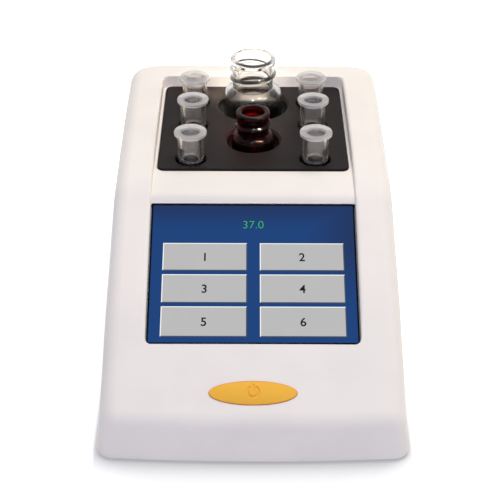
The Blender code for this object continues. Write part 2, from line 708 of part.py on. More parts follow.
def boss_list():
    """Every boss under the case top: its foot's place, its length and the screw hole's depth."""
    bosses = []
    for x, y in mirrored_places(CASE_BOSS_X, FIXING_YS):
        bosses.append((at(x, y, PAN_TOP + GAP), CASE_SHANK_LENGTH))
    for x, y in mirrored_places(CARRIER_BOSS_X, CARRIER_BOSS_YS):
        bosses.append((at(x, y, CARRIER_TOP + GAP), CARRIER_SHANK_LENGTH))
    for x, y in mirrored_places(DISPLAY_BOSS_X, (-DISPLAY_BOSS_Y, DISPLAY_BOSS_Y)):
        bosses.append((display_frame() @ at(x, y, display_board_top() + GAP), DISPLAY_SHANK_LENGTH))
    for side in (-1, 1):
        bosses.append((button_frame() @ at(side * BUTTON_BOSS_X, 0, button_board_top() + GAP), BOARD_SHANK_LENGTH))
    return bosses


def display_board_top():
    """Height of the display board's upper face under the front of the glass."""
    return -GLASS_THICKNESS - GAP - MODULE_THICKNESS - GAP


def button_board_top():
    """Height of the button board's upper face under the case's surface."""
    flange_bottom = -WALL - GAP - BUTTON_FLANGE_THICKNESS
    return flange_bottom - BUTTON_POST_LENGTH - BUTTON_TRAVEL - GAP - SWITCH_HEIGHT - GAP


def oval(half_width, half_length, height):
    """Points round an upright oval."""
    angles = [math.tau * step / OVAL_STEPS for step in range(OVAL_STEPS)]
    return [(half_width * math.cos(angle), half_length * math.sin(angle), height) for angle in angles]


def cut_sockets(shell):
    """Openings in the back wall for the two sockets."""
    for x, width, height in ((DC_INLET_X, DC_INLET_WIDTH, DC_INLET_HEIGHT),
                             (DATA_SOCKET_X, DATA_SOCKET_WIDTH, DATA_SOCKET_HEIGHT)):
        low = (x - width / 2 - GAP, CASE_BACK - WALL - OVERRUN, MAIN_BOARD_TOP)
        high = (x + width / 2 + GAP, CASE_BACK + OVERRUN, MAIN_BOARD_TOP + GAP + height + GAP)
        cut(shell, box_mesh("socket_opening", low, high))


def make_upper_shell():
    """Case top: a hollow loft with the sunk channel, the display window and the bosses inside."""
    shell = place("upper_shell", case_body("upper_shell", 0.0, CASE_BOTTOM))
    hollow = place("hollow", case_body("hollow", WALL, CASE_BOTTOM - OVERRUN))
    cut(hollow, tub_mesh())
    for frame, _ in boss_list():
        cut(hollow, cylinder_mesh("boss", BOSS_RADIUS, 0, CASE_TOP, SCREW_STEPS), frame)
    hollow_mesh = hollow.data.copy()
    bpy.data.objects.remove(hollow)
    cut(shell, hollow_mesh)
    cut(shell, channel_mesh())
    seat = rounded_rectangle(PLATE_WIDTH + 2 * GAP, PLATE_DEPTH + 2 * GAP, PLATE_CORNER + GAP, (0, PLATE_Y))
    cut(shell, prism_mesh("plate_seat", seat, SEAT_FLOOR, CASE_TOP + OVERRUN))
    window = rounded_rectangle(CHANNEL_WIDTH, GLASS_LENGTH + 2 * GAP, WINDOW_CORNER,
                               upper_radius=WINDOW_UPPER_CORNER)
    cut(shell, prism_mesh("window", window, -OVERRUN, OVERRUN), display_frame())
    pocket_x = MODULE_WIDTH / 2 + GAP
    pocket_y = MODULE_LENGTH / 2 + GAP
    pocket = box_mesh("module_pocket", (-pocket_x, -pocket_y, display_board_top() - OVERRUN),
                      (pocket_x, pocket_y, -GLASS_THICKNESS))
    cut(shell, pocket, display_frame())
    way = rounded_rectangle(PLATE_WIDTH - 2 * SEAT_LEDGE, PLATE_DEPTH - 2 * SEAT_LEDGE, PLATE_CORNER - SEAT_LEDGE,
                            (0, PLATE_Y))
    cut(shell, prism_mesh("well_way", way, FLOOR_UNDERSIDE - OVERRUN, SEAT_FLOOR + OVERRUN))
    rings = [oval(BUTTON_WIDTH / 2 + GAP, BUTTON_LENGTH / 2 + GAP, height) for height in (-OVERRUN, OVERRUN)]
    cut(shell, loft_mesh("button_hole", rings), button_frame())
    for frame, depth in boss_list():
        cut(shell, cylinder_mesh("screw_hole", SHANK_RADIUS + GAP, -OVERRUN, depth, SCREW_STEPS), frame)
    cut_sockets(shell)
    shell.data.materials.clear()
    shell.data.materials.append(material("case_cream", (0.89, 0.83, 0.76), 0.42))
    finish_round(shell)
    return shell


def pan_outline():
    """Outline of the base pan, inside the case wall all round."""
    inset = WALL + GAP
    lean = PAN_THICKNESS / tangent(FACE_SLOPE_DEG)
    radius = BACK_CORNER_RADIUS
    arc = [radius * (1 - math.cos(math.pi / 2 * step / CORNER_STEPS)) for step in range(CORNER_STEPS + 1)]
    half = case_half_width(CASE_FRONT, PAN_TOP) - inset
    right = [(half - set_back(depth, radius), CASE_BACK - inset - depth) for depth in arc]
    front = CASE_FRONT + inset + lean
    for depth in reversed(arc):
        x = half - set_back(depth, radius)
        right.append((x, front + depth + front_bow(x, front + depth)))
    return right + [(0, front)] + [(-x, y) for x, y in reversed(right)]


def make_base_pan():
    """Bottom of the case, with feet recesses, screw seats and bosses for the main board."""
    pan = place("base_pan", prism_mesh("base_pan", pan_outline(), CASE_BOTTOM, PAN_TOP))
    for x, y in mirrored_places(BOARD_BOSS_X, BOARD_BOSS_YS):
        boss = cylinder_mesh("board_boss", BOSS_RADIUS, PAN_TOP - PAN_THICKNESS / 2,
                             MAIN_BOARD_BOTTOM - GAP, SCREW_STEPS)
        join(pan, boss, at(x, y))
        hole = cylinder_mesh("board_hole", SHANK_RADIUS + GAP, MAIN_BOARD_BOTTOM - BOARD_SHANK_LENGTH,
                             MAIN_BOARD_BOTTOM + OVERRUN, SCREW_STEPS)
        cut(pan, hole, at(x, y))
    for x, y in mirrored_places(FOOT_X, FIXING_YS):
        recess = cylinder_mesh("foot_recess", FOOT_RADIUS + GAP, CASE_BOTTOM - OVERRUN,
                               CASE_BOTTOM + FOOT_SUNK + GAP)
        cut(pan, recess, at(x, y))
    for x, y in mirrored_places(CASE_BOSS_X, FIXING_YS):
        seat = cylinder_mesh("screw_seat", HEAD_RADIUS + GAP, CASE_BOTTOM - OVERRUN,
                             CASE_BOTTOM + HEAD_HEIGHT + GAP, SCREW_STEPS)
        cut(pan, seat, at(x, y))
        hole = cylinder_mesh("screw_way", SHANK_RADIUS + GAP, CASE_BOTTOM - OVERRUN, PAN_TOP + OVERRUN, SCREW_STEPS)
        cut(pan, hole, at(x, y))
    pan.data.materials.append(material("pan_cream", (0.80, 0.75, 0.70), 0.5))
    finish_round(pan)
    return pan


def make_feet():
    """Four rubber feet with a small round on the lower edge."""
    rubber = material("foot_rubber", (0.03, 0.03, 0.03), 0.8)
    top = CASE_BOTTOM + FOOT_SUNK
    edge = FOOT_SUNK / 2
    profile = [(0, 0), (FOOT_RADIUS - edge, 0), (FOOT_RADIUS, edge), (FOOT_RADIUS, top), (0, top)]
    mesh = turned_mesh("foot", profile, ROUND_STEPS)
    for number, (x, y) in enumerate(mirrored_places(FOOT_X, FIXING_YS), 1):
        place(f"foot_{number}", mesh, rubber, at(x, y))


def screw_mesh(name, shank_length):
    """A screw: its head's underside at the origin and its shank along +Z."""
    edge = HEAD_HEIGHT / 4
    tip = SHANK_RADIUS / 2
    profile = [(0, -HEAD_HEIGHT), (HEAD_RADIUS - edge, -HEAD_HEIGHT), (HEAD_RADIUS, edge - HEAD_HEIGHT),
               (HEAD_RADIUS, 0), (SHANK_RADIUS, 0), (SHANK_RADIUS, shank_length - tip),
               (tip, shank_length), (0, shank_length)]
    return turned_mesh(name, profile, SCREW_STEPS)


def make_screws():
    """All screws: case, block carrier, display board, button board and main board."""
    steel = material("screw_steel", (0.55, 0.55, 0.56), 0.35, 1.0)
    flip = Matrix.Rotation(math.pi, 4, "X")
    case = [at(x, y, CASE_BOTTOM + HEAD_HEIGHT) for x, y in mirrored_places(CASE_BOSS_X, FIXING_YS)]
    carrier = [at(x, y, CARRIER_BOTTOM - GAP) for x, y in mirrored_places(CARRIER_BOSS_X, CARRIER_BOSS_YS)]
    under_display = display_board_top() - BOARD_THICKNESS - GAP
    display = [display_frame() @ at(x, y, under_display)
               for x, y in mirrored_places(DISPLAY_BOSS_X, (-DISPLAY_BOSS_Y, DISPLAY_BOSS_Y))]
    under_button = button_board_top() - BOARD_THICKNESS - GAP
    button = [button_frame() @ at(side * BUTTON_BOSS_X, 0, under_button) for side in (-1, 1)]
    board = [at(x, y, MAIN_BOARD_TOP + GAP) @ flip for x, y in mirrored_places(BOARD_BOSS_X, BOARD_BOSS_YS)]
    groups = [("case_screw", case, CASE_SHANK_LENGTH), ("carrier_screw", carrier, CARRIER_SHANK_LENGTH),
              ("display_screw", display, DISPLAY_SHANK_LENGTH), ("button_screw", button, BOARD_SHANK_LENGTH),
              ("board_screw", board, BOARD_SHANK_LENGTH)]
    for name, frames, length in groups:
        mesh = screw_mesh(name, length)
        for number, frame in enumerate(frames, 1):
            place(f"{name}_{number}", mesh, steel, frame)


def make_well_plate():
    """Dark plate with six cuvette holes and two larger vessel holes."""
    outline = rounded_rectangle(PLATE_WIDTH, PLATE_DEPTH, PLATE_CORNER, (0, PLATE_Y))
    plate = place("well_plate", prism_mesh("well_plate", outline, PLATE_BOTTOM, PLATE_TOP))
    for x, y, hole, chamfer, _, _ in well_places():
        cut(plate, plate_hole_mesh(hole, chamfer), at(x, y))
    plate.data.materials.append(material("plate_charcoal", (0.045, 0.040, 0.038), 0.55))
    finish_round(plate)


def make_heating_block():
    """Aluminium block with a blind well for each vessel, light bores and the probe's bore."""
    half = BLOCK_WIDTH / 2
    low = (-half, BLOCK_FRONT, BLOCK_BOTTOM)
    block = place("heating_block", box_mesh("heating_block", low, (half, BLOCK_BACK, BLOCK_TOP)))
    for x, y, _, _, radius, bottom in well_places():
        bore = cylinder_mesh("well", radius + WELL_CLEARANCE, bottom - GAP, BLOCK_TOP + OVERRUN)
        cut(block, bore, at(x, y))
    for side in (-1, 1):
        turn = Matrix.Rotation(side * math.pi / 2, 4, "Y")
        bore = cylinder_mesh("light_bore", LENS_RADIUS + GAP, 0, half - CUVETTE_HALF_SPACING + OVERRUN, SCREW_STEPS)
        cut(block, bore, at(side * CUVETTE_HALF_SPACING, MEASURING_Y, LIGHT_Z) @ turn)
        turn = Matrix.Rotation(math.pi / 2, 4, "X")
        bore = cylinder_mesh("light_bore", LENS_RADIUS + GAP, 0, MEASURING_Y - BLOCK_FRONT + OVERRUN, SCREW_STEPS)
        cut(block, bore, at(side * CUVETTE_HALF_SPACING, MEASURING_Y, LIGHT_Z) @ turn)
    turn = Matrix.Rotation(math.pi / 2, 4, "X")
    bore = cylinder_mesh("probe_bore", PROBE_RADIUS + GAP, -OVERRUN, PROBE_LENGTH + GAP, SCREW_STEPS)
    cut(block, bore, at(PROBE_X, BLOCK_BACK, PROBE_Z) @ turn)
    block.data.materials.append(material("block_aluminium", (0.03, 0.03, 0.032), 0.45, 1.0))
    finish_round(block)


def make_block_stack():
    """Heater foil, insulation pad and the carrier that holds them up against the block."""
    half = BLOCK_WIDTH / 2
    middle = (BLOCK_FRONT + BLOCK_BACK) / 2
    length = BLOCK_BACK - BLOCK_FRONT
    foil_half = half - FOIL_MARGIN
    foil_y = length / 2 - FOIL_MARGIN
    foil = box_mesh("heater_foil", (-foil_half, middle - foil_y, FOIL_TOP - FOIL_THICKNESS),
                    (foil_half, middle + foil_y, FOIL_TOP))
    place("heater_foil", foil, material("foil_orange", (0.45, 0.18, 0.04), 0.4))
    pad_half = half - PAD_MARGIN
    pad_y = length / 2 - PAD_MARGIN
    pad = box_mesh("insulation_pad", (-pad_half, middle - pad_y, PAD_TOP - PAD_THICKNESS),
                   (pad_half, middle + pad_y, PAD_TOP))
    place("insulation_pad", pad, material("pad_grey", (0.20, 0.20, 0.21), 0.9))
    carrier = place("block_carrier", box_mesh("block_carrier", (-half, BLOCK_FRONT, CARRIER_BOTTOM),
                                              (half, BLOCK_BACK, CARRIER_TOP)))
    for y in CARRIER_BOSS_YS:
        ears = rounded_rectangle(2 * (CARRIER_BOSS_X + CARRIER_EAR_RADIUS), 2 * CARRIER_EAR_RADIUS,
                                 CARRIER_EAR_RADIUS / 2, (0, y))
        join(carrier, prism_mesh("ears", ears, CARRIER_BOTTOM, CARRIER_TOP))
    for x, y in mirrored_places(CARRIER_BOSS_X, CARRIER_BOSS_YS):
        hole = cylinder_mesh("ear_hole", SHANK_RADIUS + GAP, CARRIER_BOTTOM - OVERRUN,
                             CARRIER_TOP + OVERRUN, SCREW_STEPS)
        cut(carrier, hole, at(x, y))
    carrier.data.materials.append(material("carrier_white", (0.70, 0.70, 0.68), 0.5))


def make_temperature_probe():
    """Probe in the block's back, with a small head outside."""
    seat = BLOCK_BACK + GAP
    profile = [(0, -PROBE_HEAD_LENGTH), (PROBE_HEAD_RADIUS, -PROBE_HEAD_LENGTH), (PROBE_HEAD_RADIUS, 0),
               (PROBE_RADIUS, 0), (PROBE_RADIUS, PROBE_LENGTH), (0, PROBE_LENGTH)]
    turn = Matrix.Rotation(math.pi / 2, 4, "X")
    place("temperature_probe", turned_mesh("temperature_probe", profile, SCREW_STEPS),
          material("probe_steel", (0.6, 0.6, 0.6), 0.3, 1.0), at(PROBE_X, seat, PROBE_Z) @ turn)


def light_module_mesh(name):
    """A small housing with a round lens on its +Z face, which stands at the origin."""
    low = (-LAMP_HEIGHT / 2, -LAMP_WIDTH / 2, -LAMP_LENGTH)
    housing = place(name, box_mesh(name, low, (LAMP_HEIGHT / 2, LAMP_WIDTH / 2, 0)))
    join(housing, cylinder_mesh("lens", LENS_RADIUS, -LAMP_LENGTH / 2, LENS_REACH + GAP, SCREW_STEPS))
    mesh = housing.data.copy()
    bpy.data.objects.remove(housing)
    return mesh


def make_light_path():
    """An emitter beside each measuring well and a photodiode in front of it."""
    dark = material("emitter_black", (0.03, 0.03, 0.035), 0.45)
    clear = material("photodiode_black", (0.05, 0.05, 0.06), 0.45)
    emitter = light_module_mesh("emitter")
    photodiode = light_module_mesh("photodiode")
    for side, word in ((-1, "left"), (1, "right")):
        face = side * (BLOCK_WIDTH / 2 + GAP)
        inward = Matrix.Rotation(-side * math.pi / 2, 4, "Y")
        place(f"emitter_{word}", emitter, dark, at(face, MEASURING_Y, LIGHT_Z) @ inward)
        backward = Matrix.Rotation(-math.pi / 2, 4, "X") @ Matrix.Rotation(math.pi / 2, 4, "Z")
        place(f"photodiode_{word}", photodiode, clear,
              at(side * CUVETTE_HALF_SPACING, BLOCK_FRONT - GAP, LIGHT_Z) @ backward)


def make_display():
    """Touch glass, display module and display board, stacked along the display's own axis."""
    frame = display_frame()
    outline = rounded_rectangle(GLASS_WIDTH, GLASS_LENGTH, GLASS_CORNER, upper_radius=GLASS_UPPER_CORNER)
    glass = prism_mesh("touch_glass", outline, -GLASS_THICKNESS, 0)
    place("touch_glass", glass, material("glass_blue", (0.03, 0.09, 0.25), 0.15), frame)
    module_top = -GLASS_THICKNESS - GAP
    module = box_mesh("lcd_module", (-MODULE_WIDTH / 2, -MODULE_LENGTH / 2, module_top - MODULE_THICKNESS),
                      (MODULE_WIDTH / 2, MODULE_LENGTH / 2, module_top))
    place("lcd_module", module, material("module_steel", (0.5, 0.5, 0.5), 0.4, 1.0), frame)
    top = display_board_top()
    outline = rounded_rectangle(DISPLAY_BOARD_WIDTH, DISPLAY_BOARD_LENGTH, WINDOW_CORNER)
    board = place("display_board", prism_mesh("display_board", outline, top - BOARD_THICKNESS, top),
                  matrix=frame)
    for x, y in mirrored_places(DISPLAY_BOSS_X, (-DISPLAY_BOSS_Y, DISPLAY_BOSS_Y)):
        hole = cylinder_mesh("hole", SHANK_RADIUS + GAP, top - OVERRUN, top + OVERRUN, SCREW_STEPS)
        cut(board, hole, frame @ at(x, y))
    board.data.materials.append(material("display_board_green", (0.02, 0.16, 0.06), 0.5))


def power_mark_mesh(top):
    """Cutter for the power mark: an open ring with a bar in its gap."""
    inner = POWER_MARK_RADIUS - POWER_MARK_WIDTH / 2
    outer = POWER_MARK_RADIUS + POWER_MARK_WIDTH / 2
    opening = math.radians(POWER_MARK_OPENING_DEG)
    start = (math.pi + opening) / 2
    angles = [start + (math.tau - opening) * step / ROUND_STEPS for step in range(ROUND_STEPS + 1)]
    ring = [(outer * math.cos(angle), outer * math.sin(angle)) for angle in angles]
    ring += [(inner * math.cos(angle), inner * math.sin(angle)) for angle in reversed(angles)]
    return prism_mesh("power_mark", ring, top - POWER_MARK_DEPTH, top + OVERRUN)


def make_power_button():
    """Oval button: domed top, flange under the case wall and a post over the switch."""
    half_width = BUTTON_WIDTH / 2
    half_length = BUTTON_LENGTH / 2
    flange_top = -WALL - GAP
    flange_bottom = flange_top - BUTTON_FLANGE_THICKNESS
    shoulder = BUTTON_PROUD - BUTTON_EDGE
    edge = BUTTON_EDGE / 2
    rings = [oval(BUTTON_POST_RADIUS, BUTTON_POST_RADIUS, flange_bottom - BUTTON_POST_LENGTH),
             oval(BUTTON_POST_RADIUS, BUTTON_POST_RADIUS, flange_bottom),
             oval(half_width + BUTTON_FLANGE, half_length + BUTTON_FLANGE, flange_bottom),
             oval(half_width + BUTTON_FLANGE, half_length + BUTTON_FLANGE, flange_top),
             oval(half_width, half_length, flange_top),
             oval(half_width, half_length, shoulder),
             oval(half_width - edge / 2, half_length - edge / 2, shoulder + edge),
             oval(half_width - 2 * edge, half_length - 2 * edge, BUTTON_PROUD)]
    button = place("power_button", loft_mesh("power_button", rings), matrix=button_frame())
    cut(button, power_mark_mesh(BUTTON_PROUD), button_frame())
    bar = box_mesh("mark_bar", (-POWER_MARK_WIDTH / 2, 0, BUTTON_PROUD - POWER_MARK_DEPTH),
                   (POWER_MARK_WIDTH / 2, POWER_MARK_RADIUS + POWER_MARK_WIDTH, BUTTON_PROUD + OVERRUN))
    cut(button, bar, button_frame())
    button.data.materials.append(material("button_amber", (0.87, 0.50, 0.10), 0.4))
    finish_round(button)


def make_button_board():
    """Small board under the button, with its switch."""
    top = button_board_top()
    outline = rounded_rectangle(BUTTON_BOARD_WIDTH, BUTTON_BOARD_LENGTH, WINDOW_CORNER)
    board = place("button_board", prism_mesh("button_board", outline, top - BOARD_THICKNESS, top),
                  matrix=button_frame())
    for side in (-1, 1):
        hole = cylinder_mesh("hole", SHANK_RADIUS + GAP, top - OVERRUN, top + OVERRUN, SCREW_STEPS)
        cut(board, hole, button_frame() @ at(side * BUTTON_BOSS_X, 0))
    board.data.materials.append(material("button_board_green", (0.02, 0.16, 0.06), 0.5))
    half = SWITCH_SIZE / 2
    switch = box_mesh("button_switch", (-half, -half, top + GAP), (half, half, top + GAP + SWITCH_HEIGHT))
    place("button_switch", switch, material("switch_black", (0.04, 0.04, 0.04), 0.4), button_frame())


def make_main_board():
    """Main board on the pan's bosses, with its processor and buzzer."""
    outline = rounded_rectangle(MAIN_BOARD_WIDTH, MAIN_BOARD_LENGTH, WINDOW_CORNER, (0, MAIN_BOARD_Y))
    board = place("main_board", prism_mesh("main_board", outline, MAIN_BOARD_BOTTOM, MAIN_BOARD_TOP))
    for x, y in mirrored_places(BOARD_BOSS_X, BOARD_BOSS_YS):
        hole = cylinder_mesh("hole", SHANK_RADIUS + GAP, MAIN_BOARD_BOTTOM - OVERRUN,
                             MAIN_BOARD_TOP + OVERRUN, SCREW_STEPS)
        cut(board, hole, at(x, y))
    board.data.materials.append(material("main_board_green", (0.02, 0.16, 0.06), 0.5))
    half = PROCESSOR_SIZE / 2
    low = MAIN_BOARD_TOP + GAP
    chip = box_mesh("processor", (-half, PROCESSOR_Y - half, low), (half, PROCESSOR_Y + half, low + PROCESSOR_HEIGHT))
    place("processor", chip, material("chip_black", (0.03, 0.03, 0.03), 0.5))
    buzzer = cylinder_mesh("buzzer", BUZZER_RADIUS, low, low + BUZZER_HEIGHT)
    place("buzzer", buzzer, material("buzzer_black", (0.03, 0.03, 0.03), 0.5), at(BUZZER_X, BUZZER_Y))


def make_display_ribbon():
    """Flat ribbon from the display board's lower part down onto the front of the main board."""
    under = display_board_top() - BOARD_THICKNESS - GAP - RIBBON_THICKNESS
    start = display_frame() @ Vector((0, 0, under))
    leave = display_frame() @ Vector((0, -DISPLAY_BOARD_LENGTH / 2, under))
    land = MAIN_BOARD_TOP + GAP + RIBBON_THICKNESS / 2
    corners = [(start.y, start.z), (leave.y, leave.z), (leave.y, land), (MAIN_BOARD_FRONT + RIBBON_LANDING, land)]
    middle = rounded_path(corners, [RIBBON_BEND, RIBBON_BEND], CORNER_STEPS)
    outline = moved_inward(middle, RIBBON_THICKNESS / 2)
    outline += list(reversed(moved_inward(middle, -RIBBON_THICKNESS / 2)))
    half = RIBBON_WIDTH / 2
    ribbon = loft_mesh("display_ribbon", [[(x, point.x, point.y) for point in outline] for x in (-half, half)])
    place("display_ribbon", ribbon, material("ribbon_white", (0.75, 0.75, 0.72), 0.5))


def make_sockets():
    """DC inlet with its centre pin, and a hollow data socket, both at the board's back edge."""
    low = MAIN_BOARD_TOP + GAP
    face = CASE_BACK - SOCKET_SUNK
    half = DC_INLET_WIDTH / 2
    inlet = place("dc_inlet", box_mesh("dc_inlet", (DC_INLET_X - half, face - DC_INLET_LENGTH, low),
                                       (DC_INLET_X + half, face, low + DC_INLET_HEIGHT)))
    axis = at(DC_INLET_X, face, low + DC_INLET_HEIGHT / 2) @ Matrix.Rotation(math.pi / 2, 4, "X")
    cut(inlet, cylinder_mesh("dc_bore", DC_BORE_RADIUS, -OVERRUN, DC_BORE_DEPTH), axis)
    join(inlet, cylinder_mesh("dc_pin", DC_PIN_RADIUS, DC_PIN_RADIUS, DC_BORE_DEPTH + DC_PIN_RADIUS, SCREW_STEPS),
         axis)
    inlet.data.materials.append(material("inlet_black", (0.03, 0.03, 0.03), 0.45))
    half = DATA_SOCKET_WIDTH / 2
    socket = place("data_socket", box_mesh("data_socket", (DATA_SOCKET_X - half, face - DATA_SOCKET_LENGTH, low),
                                           (DATA_SOCKET_X + half, face, low + DATA_SOCKET_HEIGHT)))
    hollow = DATA_HOLLOW_WIDTH / 2
    middle = low + DATA_SOCKET_HEIGHT / 2
    cut(socket, box_mesh("data_hollow", (DATA_SOCKET_X - hollow, face - DATA_HOLLOW_DEPTH,
                                         middle - DATA_HOLLOW_HEIGHT / 2),
                         (DATA_SOCKET_X + hollow, face + OVERRUN, middle + DATA_HOLLOW_HEIGHT / 2)))
    socket.data.materials.append(material("socket_grey", (0.45, 0.45, 0.46), 0.4))


def make_cuvettes():
    """Six flanged cuvettes, front pair first."""
    profile = [(0, 0), (CUVETTE_FOOT_RADIUS, 0), (CUVETTE_RADIUS, CUVETTE_FOOT_HEIGHT),
               (CUVETTE_RADIUS, CUVETTE_LENGTH - FLANGE_THICKNESS),
               (FLANGE_RADIUS, CUVETTE_LENGTH - FLANGE_THICKNESS), (FLANGE_RADIUS, CUVETTE_LENGTH),
               (CUVETTE_MOUTH, CUVETTE_LENGTH), (CUVETTE_BORE, CUVETTE_LENGTH - CUVETTE_MOUTH_DEPTH),
               (CUVETTE_BORE, CUVETTE_FLOOR), (0, CUVETTE_FLOOR)]
    mesh = turned_mesh("cuvette", profile, ROUND_STEPS)
    frosted = material("cuvette_frosted", (0.80, 0.78, 0.76), 0.35)
    for number, (x, y) in enumerate(cuvette_places(), 1):
        place(f"cuvette_{number}", mesh, frosted, at(x, y, CUVETTE_BOTTOM))


def vessel_profile(height, radius, neck, rim, rim_height, thread, bore, wall, neck_length, shoulder):
    """Outline of a threaded glass vessel, up its outside and down its inside."""
    neck_foot = height - neck_length
    band = (neck_length - rim_height) / THREAD_BANDS
    outside = [(0, 0), (radius - wall, 0), (radius, wall), (radius, neck_foot - shoulder)]
    for step in range(1, CORNER_STEPS + 1):
        angle = math.pi / 2 * step / CORNER_STEPS
        outside.append((neck + (radius - neck) * math.cos(angle), neck_foot - shoulder + shoulder * math.sin(angle)))
    for number in RIDGED_BANDS:
        foot = neck_foot + band * number
        outside += [(neck, foot), (thread, foot + band / 2), (neck, foot + band)]
    rim_foot = height - rim_height
    outside += [(neck, rim_foot), (rim, rim_foot + wall / 2), (rim, height - wall / 2), (rim - wall / 2, height)]
    inside = [(bore + wall / 2, height), (bore, height - wall / 2), (bore, neck_foot - wall)]
    for step in range(1, CORNER_STEPS):
        angle = math.pi / 2 * step / CORNER_STEPS
        inside.append((bore + (radius - wall - bore) * math.sin(angle),
                       neck_foot - shoulder - wall + shoulder * math.cos(angle)))
    inside += [(radius - wall, neck_foot - shoulder - wall), (radius - wall, 2 * wall), (radius - 2 * wall, wall),
               (0, wall)]
    return outside + inside


def make_vessels():
    """Clear bottle in the rear well and amber vial in the front well."""
    bottle = vessel_profile(BOTTLE_HEIGHT, BOTTLE_RADIUS, BOTTLE_NECK, BOTTLE_RIM, BOTTLE_RIM_HEIGHT, BOTTLE_THREAD,
                            BOTTLE_BORE, BOTTLE_WALL, BOTTLE_NECK_LENGTH, BOTTLE_SHOULDER)
    place("clear_reagent_bottle", turned_mesh("clear_reagent_bottle", bottle, VESSEL_STEPS),
          material("bottle_glass", (0.85, 0.88, 0.87), 0.05), at(0, BOTTLE_Y, BOTTLE_BOTTOM))
    vial = vessel_profile(VIAL_HEIGHT, VIAL_RADIUS, VIAL_NECK, VIAL_RIM, VIAL_RIM_HEIGHT, VIAL_THREAD,
                          VIAL_BORE, VIAL_WALL, VIAL_NECK_LENGTH, VIAL_SHOULDER)
    place("amber_reagent_vial", turned_mesh("amber_reagent_vial", vial, ROUND_STEPS),
          material("vial_amber", (0.14, 0.03, 0.01), 0.08), at(0, VIAL_Y, VIAL_BOTTOM))


def main():
    for item in list(bpy.data.objects):
        bpy.data.objects.remove(item)
    make_upper_shell()
    make_base_pan()
    make_feet()
    make_screws()
    make_well_plate()
    make_heating_block()
    make_block_stack()
    make_temperature_probe()
    make_light_path()
    make_display()
    make_power_button()
    make_button_board()
    make_main_board()
    make_display_ribbon()
    make_sockets()
    make_cuvettes()
    make_vessels()


main()
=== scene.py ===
from math import cos, pi, radians, sin

import bmesh
import bpy
import numpy as np
from bpy.props import FloatProperty, FloatVectorProperty, PointerProperty
from mathutils import Matrix, Vector


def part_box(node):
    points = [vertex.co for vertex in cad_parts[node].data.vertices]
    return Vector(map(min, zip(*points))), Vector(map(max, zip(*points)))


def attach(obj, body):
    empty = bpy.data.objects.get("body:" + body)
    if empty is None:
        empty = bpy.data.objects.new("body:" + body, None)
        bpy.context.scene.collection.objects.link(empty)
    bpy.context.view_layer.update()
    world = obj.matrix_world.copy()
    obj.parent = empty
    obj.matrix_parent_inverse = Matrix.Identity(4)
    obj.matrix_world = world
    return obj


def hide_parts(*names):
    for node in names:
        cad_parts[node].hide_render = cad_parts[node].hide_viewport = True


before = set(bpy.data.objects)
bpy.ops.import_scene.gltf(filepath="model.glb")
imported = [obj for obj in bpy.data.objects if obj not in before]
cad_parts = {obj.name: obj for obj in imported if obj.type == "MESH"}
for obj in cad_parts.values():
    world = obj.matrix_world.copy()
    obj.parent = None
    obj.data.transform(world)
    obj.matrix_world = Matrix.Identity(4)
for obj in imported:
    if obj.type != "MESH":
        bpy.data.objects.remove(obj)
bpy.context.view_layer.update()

bl_info = {
    "name": "Coagulation analyzer",
    "version": (1, 0, 0),
    "blender": (4, 5, 0),
    "location": "3D View > Sidebar > Analyzer",
    "description": "Finishes the pieces of a bench coagulation analyzer and sets its stage",
    "category": "Object",
}

CUVETTES = [f"cuvette_{number}" for number in range(1, 7)]
FEET = [f"foot_{number}" for number in range(1, 5)]

# Points round each turned piece.
CUVETTE_STEPS = 96
VESSEL_STEPS = 160
BUTTON_STEPS = 256
FOOT_STEPS = 96

# Points in each corner of an outline, and of the screen's rim.
ARC_POINTS = 6
SCREEN_CORNER_POINTS = 8

GLASS_WALL = 0.0011


def linear(red, green, blue):
    """Scene-linear colour of a colour given in 0 to 255 screen values, by the sRGB curve:

    v / 12.92 up to 0.04045, and ((v + 0.055) / 1.055) ^ 2.4 above it."""
    values = np.array((red, green, blue)) / 255
    curved = np.where(values <= 0.04045, values / 12.92, ((values + 0.055) / 1.055) ** 2.4)
    return tuple(float(value) for value in curved)


def metres(name, description, default):
    """A length that the user may change."""
    return FloatProperty(name=name, description=description, default=default, min=0, unit="LENGTH",
                         precision=5)


def tint(name, description, default):
    """A colour that the user may change."""
    return FloatVectorProperty(name=name, description=description, default=default, min=0, max=1,
                               size=3, subtype="COLOR")


def level(name, description, default, **kind):
    """A light level that the user may change."""
    return FloatProperty(name=name, description=description, default=default, min=0, **kind)


class AnalyzerSizes(bpy.types.PropertyGroup):
    """Sizes of the pieces that are made here."""
    cuvette_round: metres("Cuvette edge", "Radius of the rounded edges of the cuvettes", 0.00010)
    cuvette_flange: metres("Cuvette flange", "Thickness of the cuvettes' flange", 0.0010)
    cuvette_step: metres("Cuvette step", "Height of the cuvettes' step over the plate", 0.0002)
    cuvette_narrowing: metres("Cuvette narrowing", "How much thinner they are below the step", 0.0005)
    bottle_pitch: metres("Bottle thread pitch", "Rise of the bottle's thread in one turn", 0.0040)
    bottle_thread: metres("Bottle thread", "How far the bottle's thread stands out", 0.0011)
    vial_pitch: metres("Vial thread pitch", "Rise of the vial's thread in one turn", 0.0030)
    vial_thread: metres("Vial thread", "How far the vial's thread stands out", 0.0008)
    border: metres("Screen border", "Black border around the picture", 0.0006)
    key_edge: metres("Key edge", "Light and dark edges of the keys on the screen", 0.00034)
    digit_height: metres("Digit height", "Height of the numbers on the screen", 0.0033)
    mark_radius: metres("Power mark radius", "Radius of the power mark's ring", 0.00185)
    mark_width: metres("Power mark width", "Width of the power mark's groove", 0.00064)
    mark_depth: metres("Power mark depth", "Depth of the power mark's groove", 0.00036)
    button_dome: metres("Button dome", "How much the button's top is domed", 0.0008)
    floor_side: metres("Floor side", "Side of the square floor", 6.0)


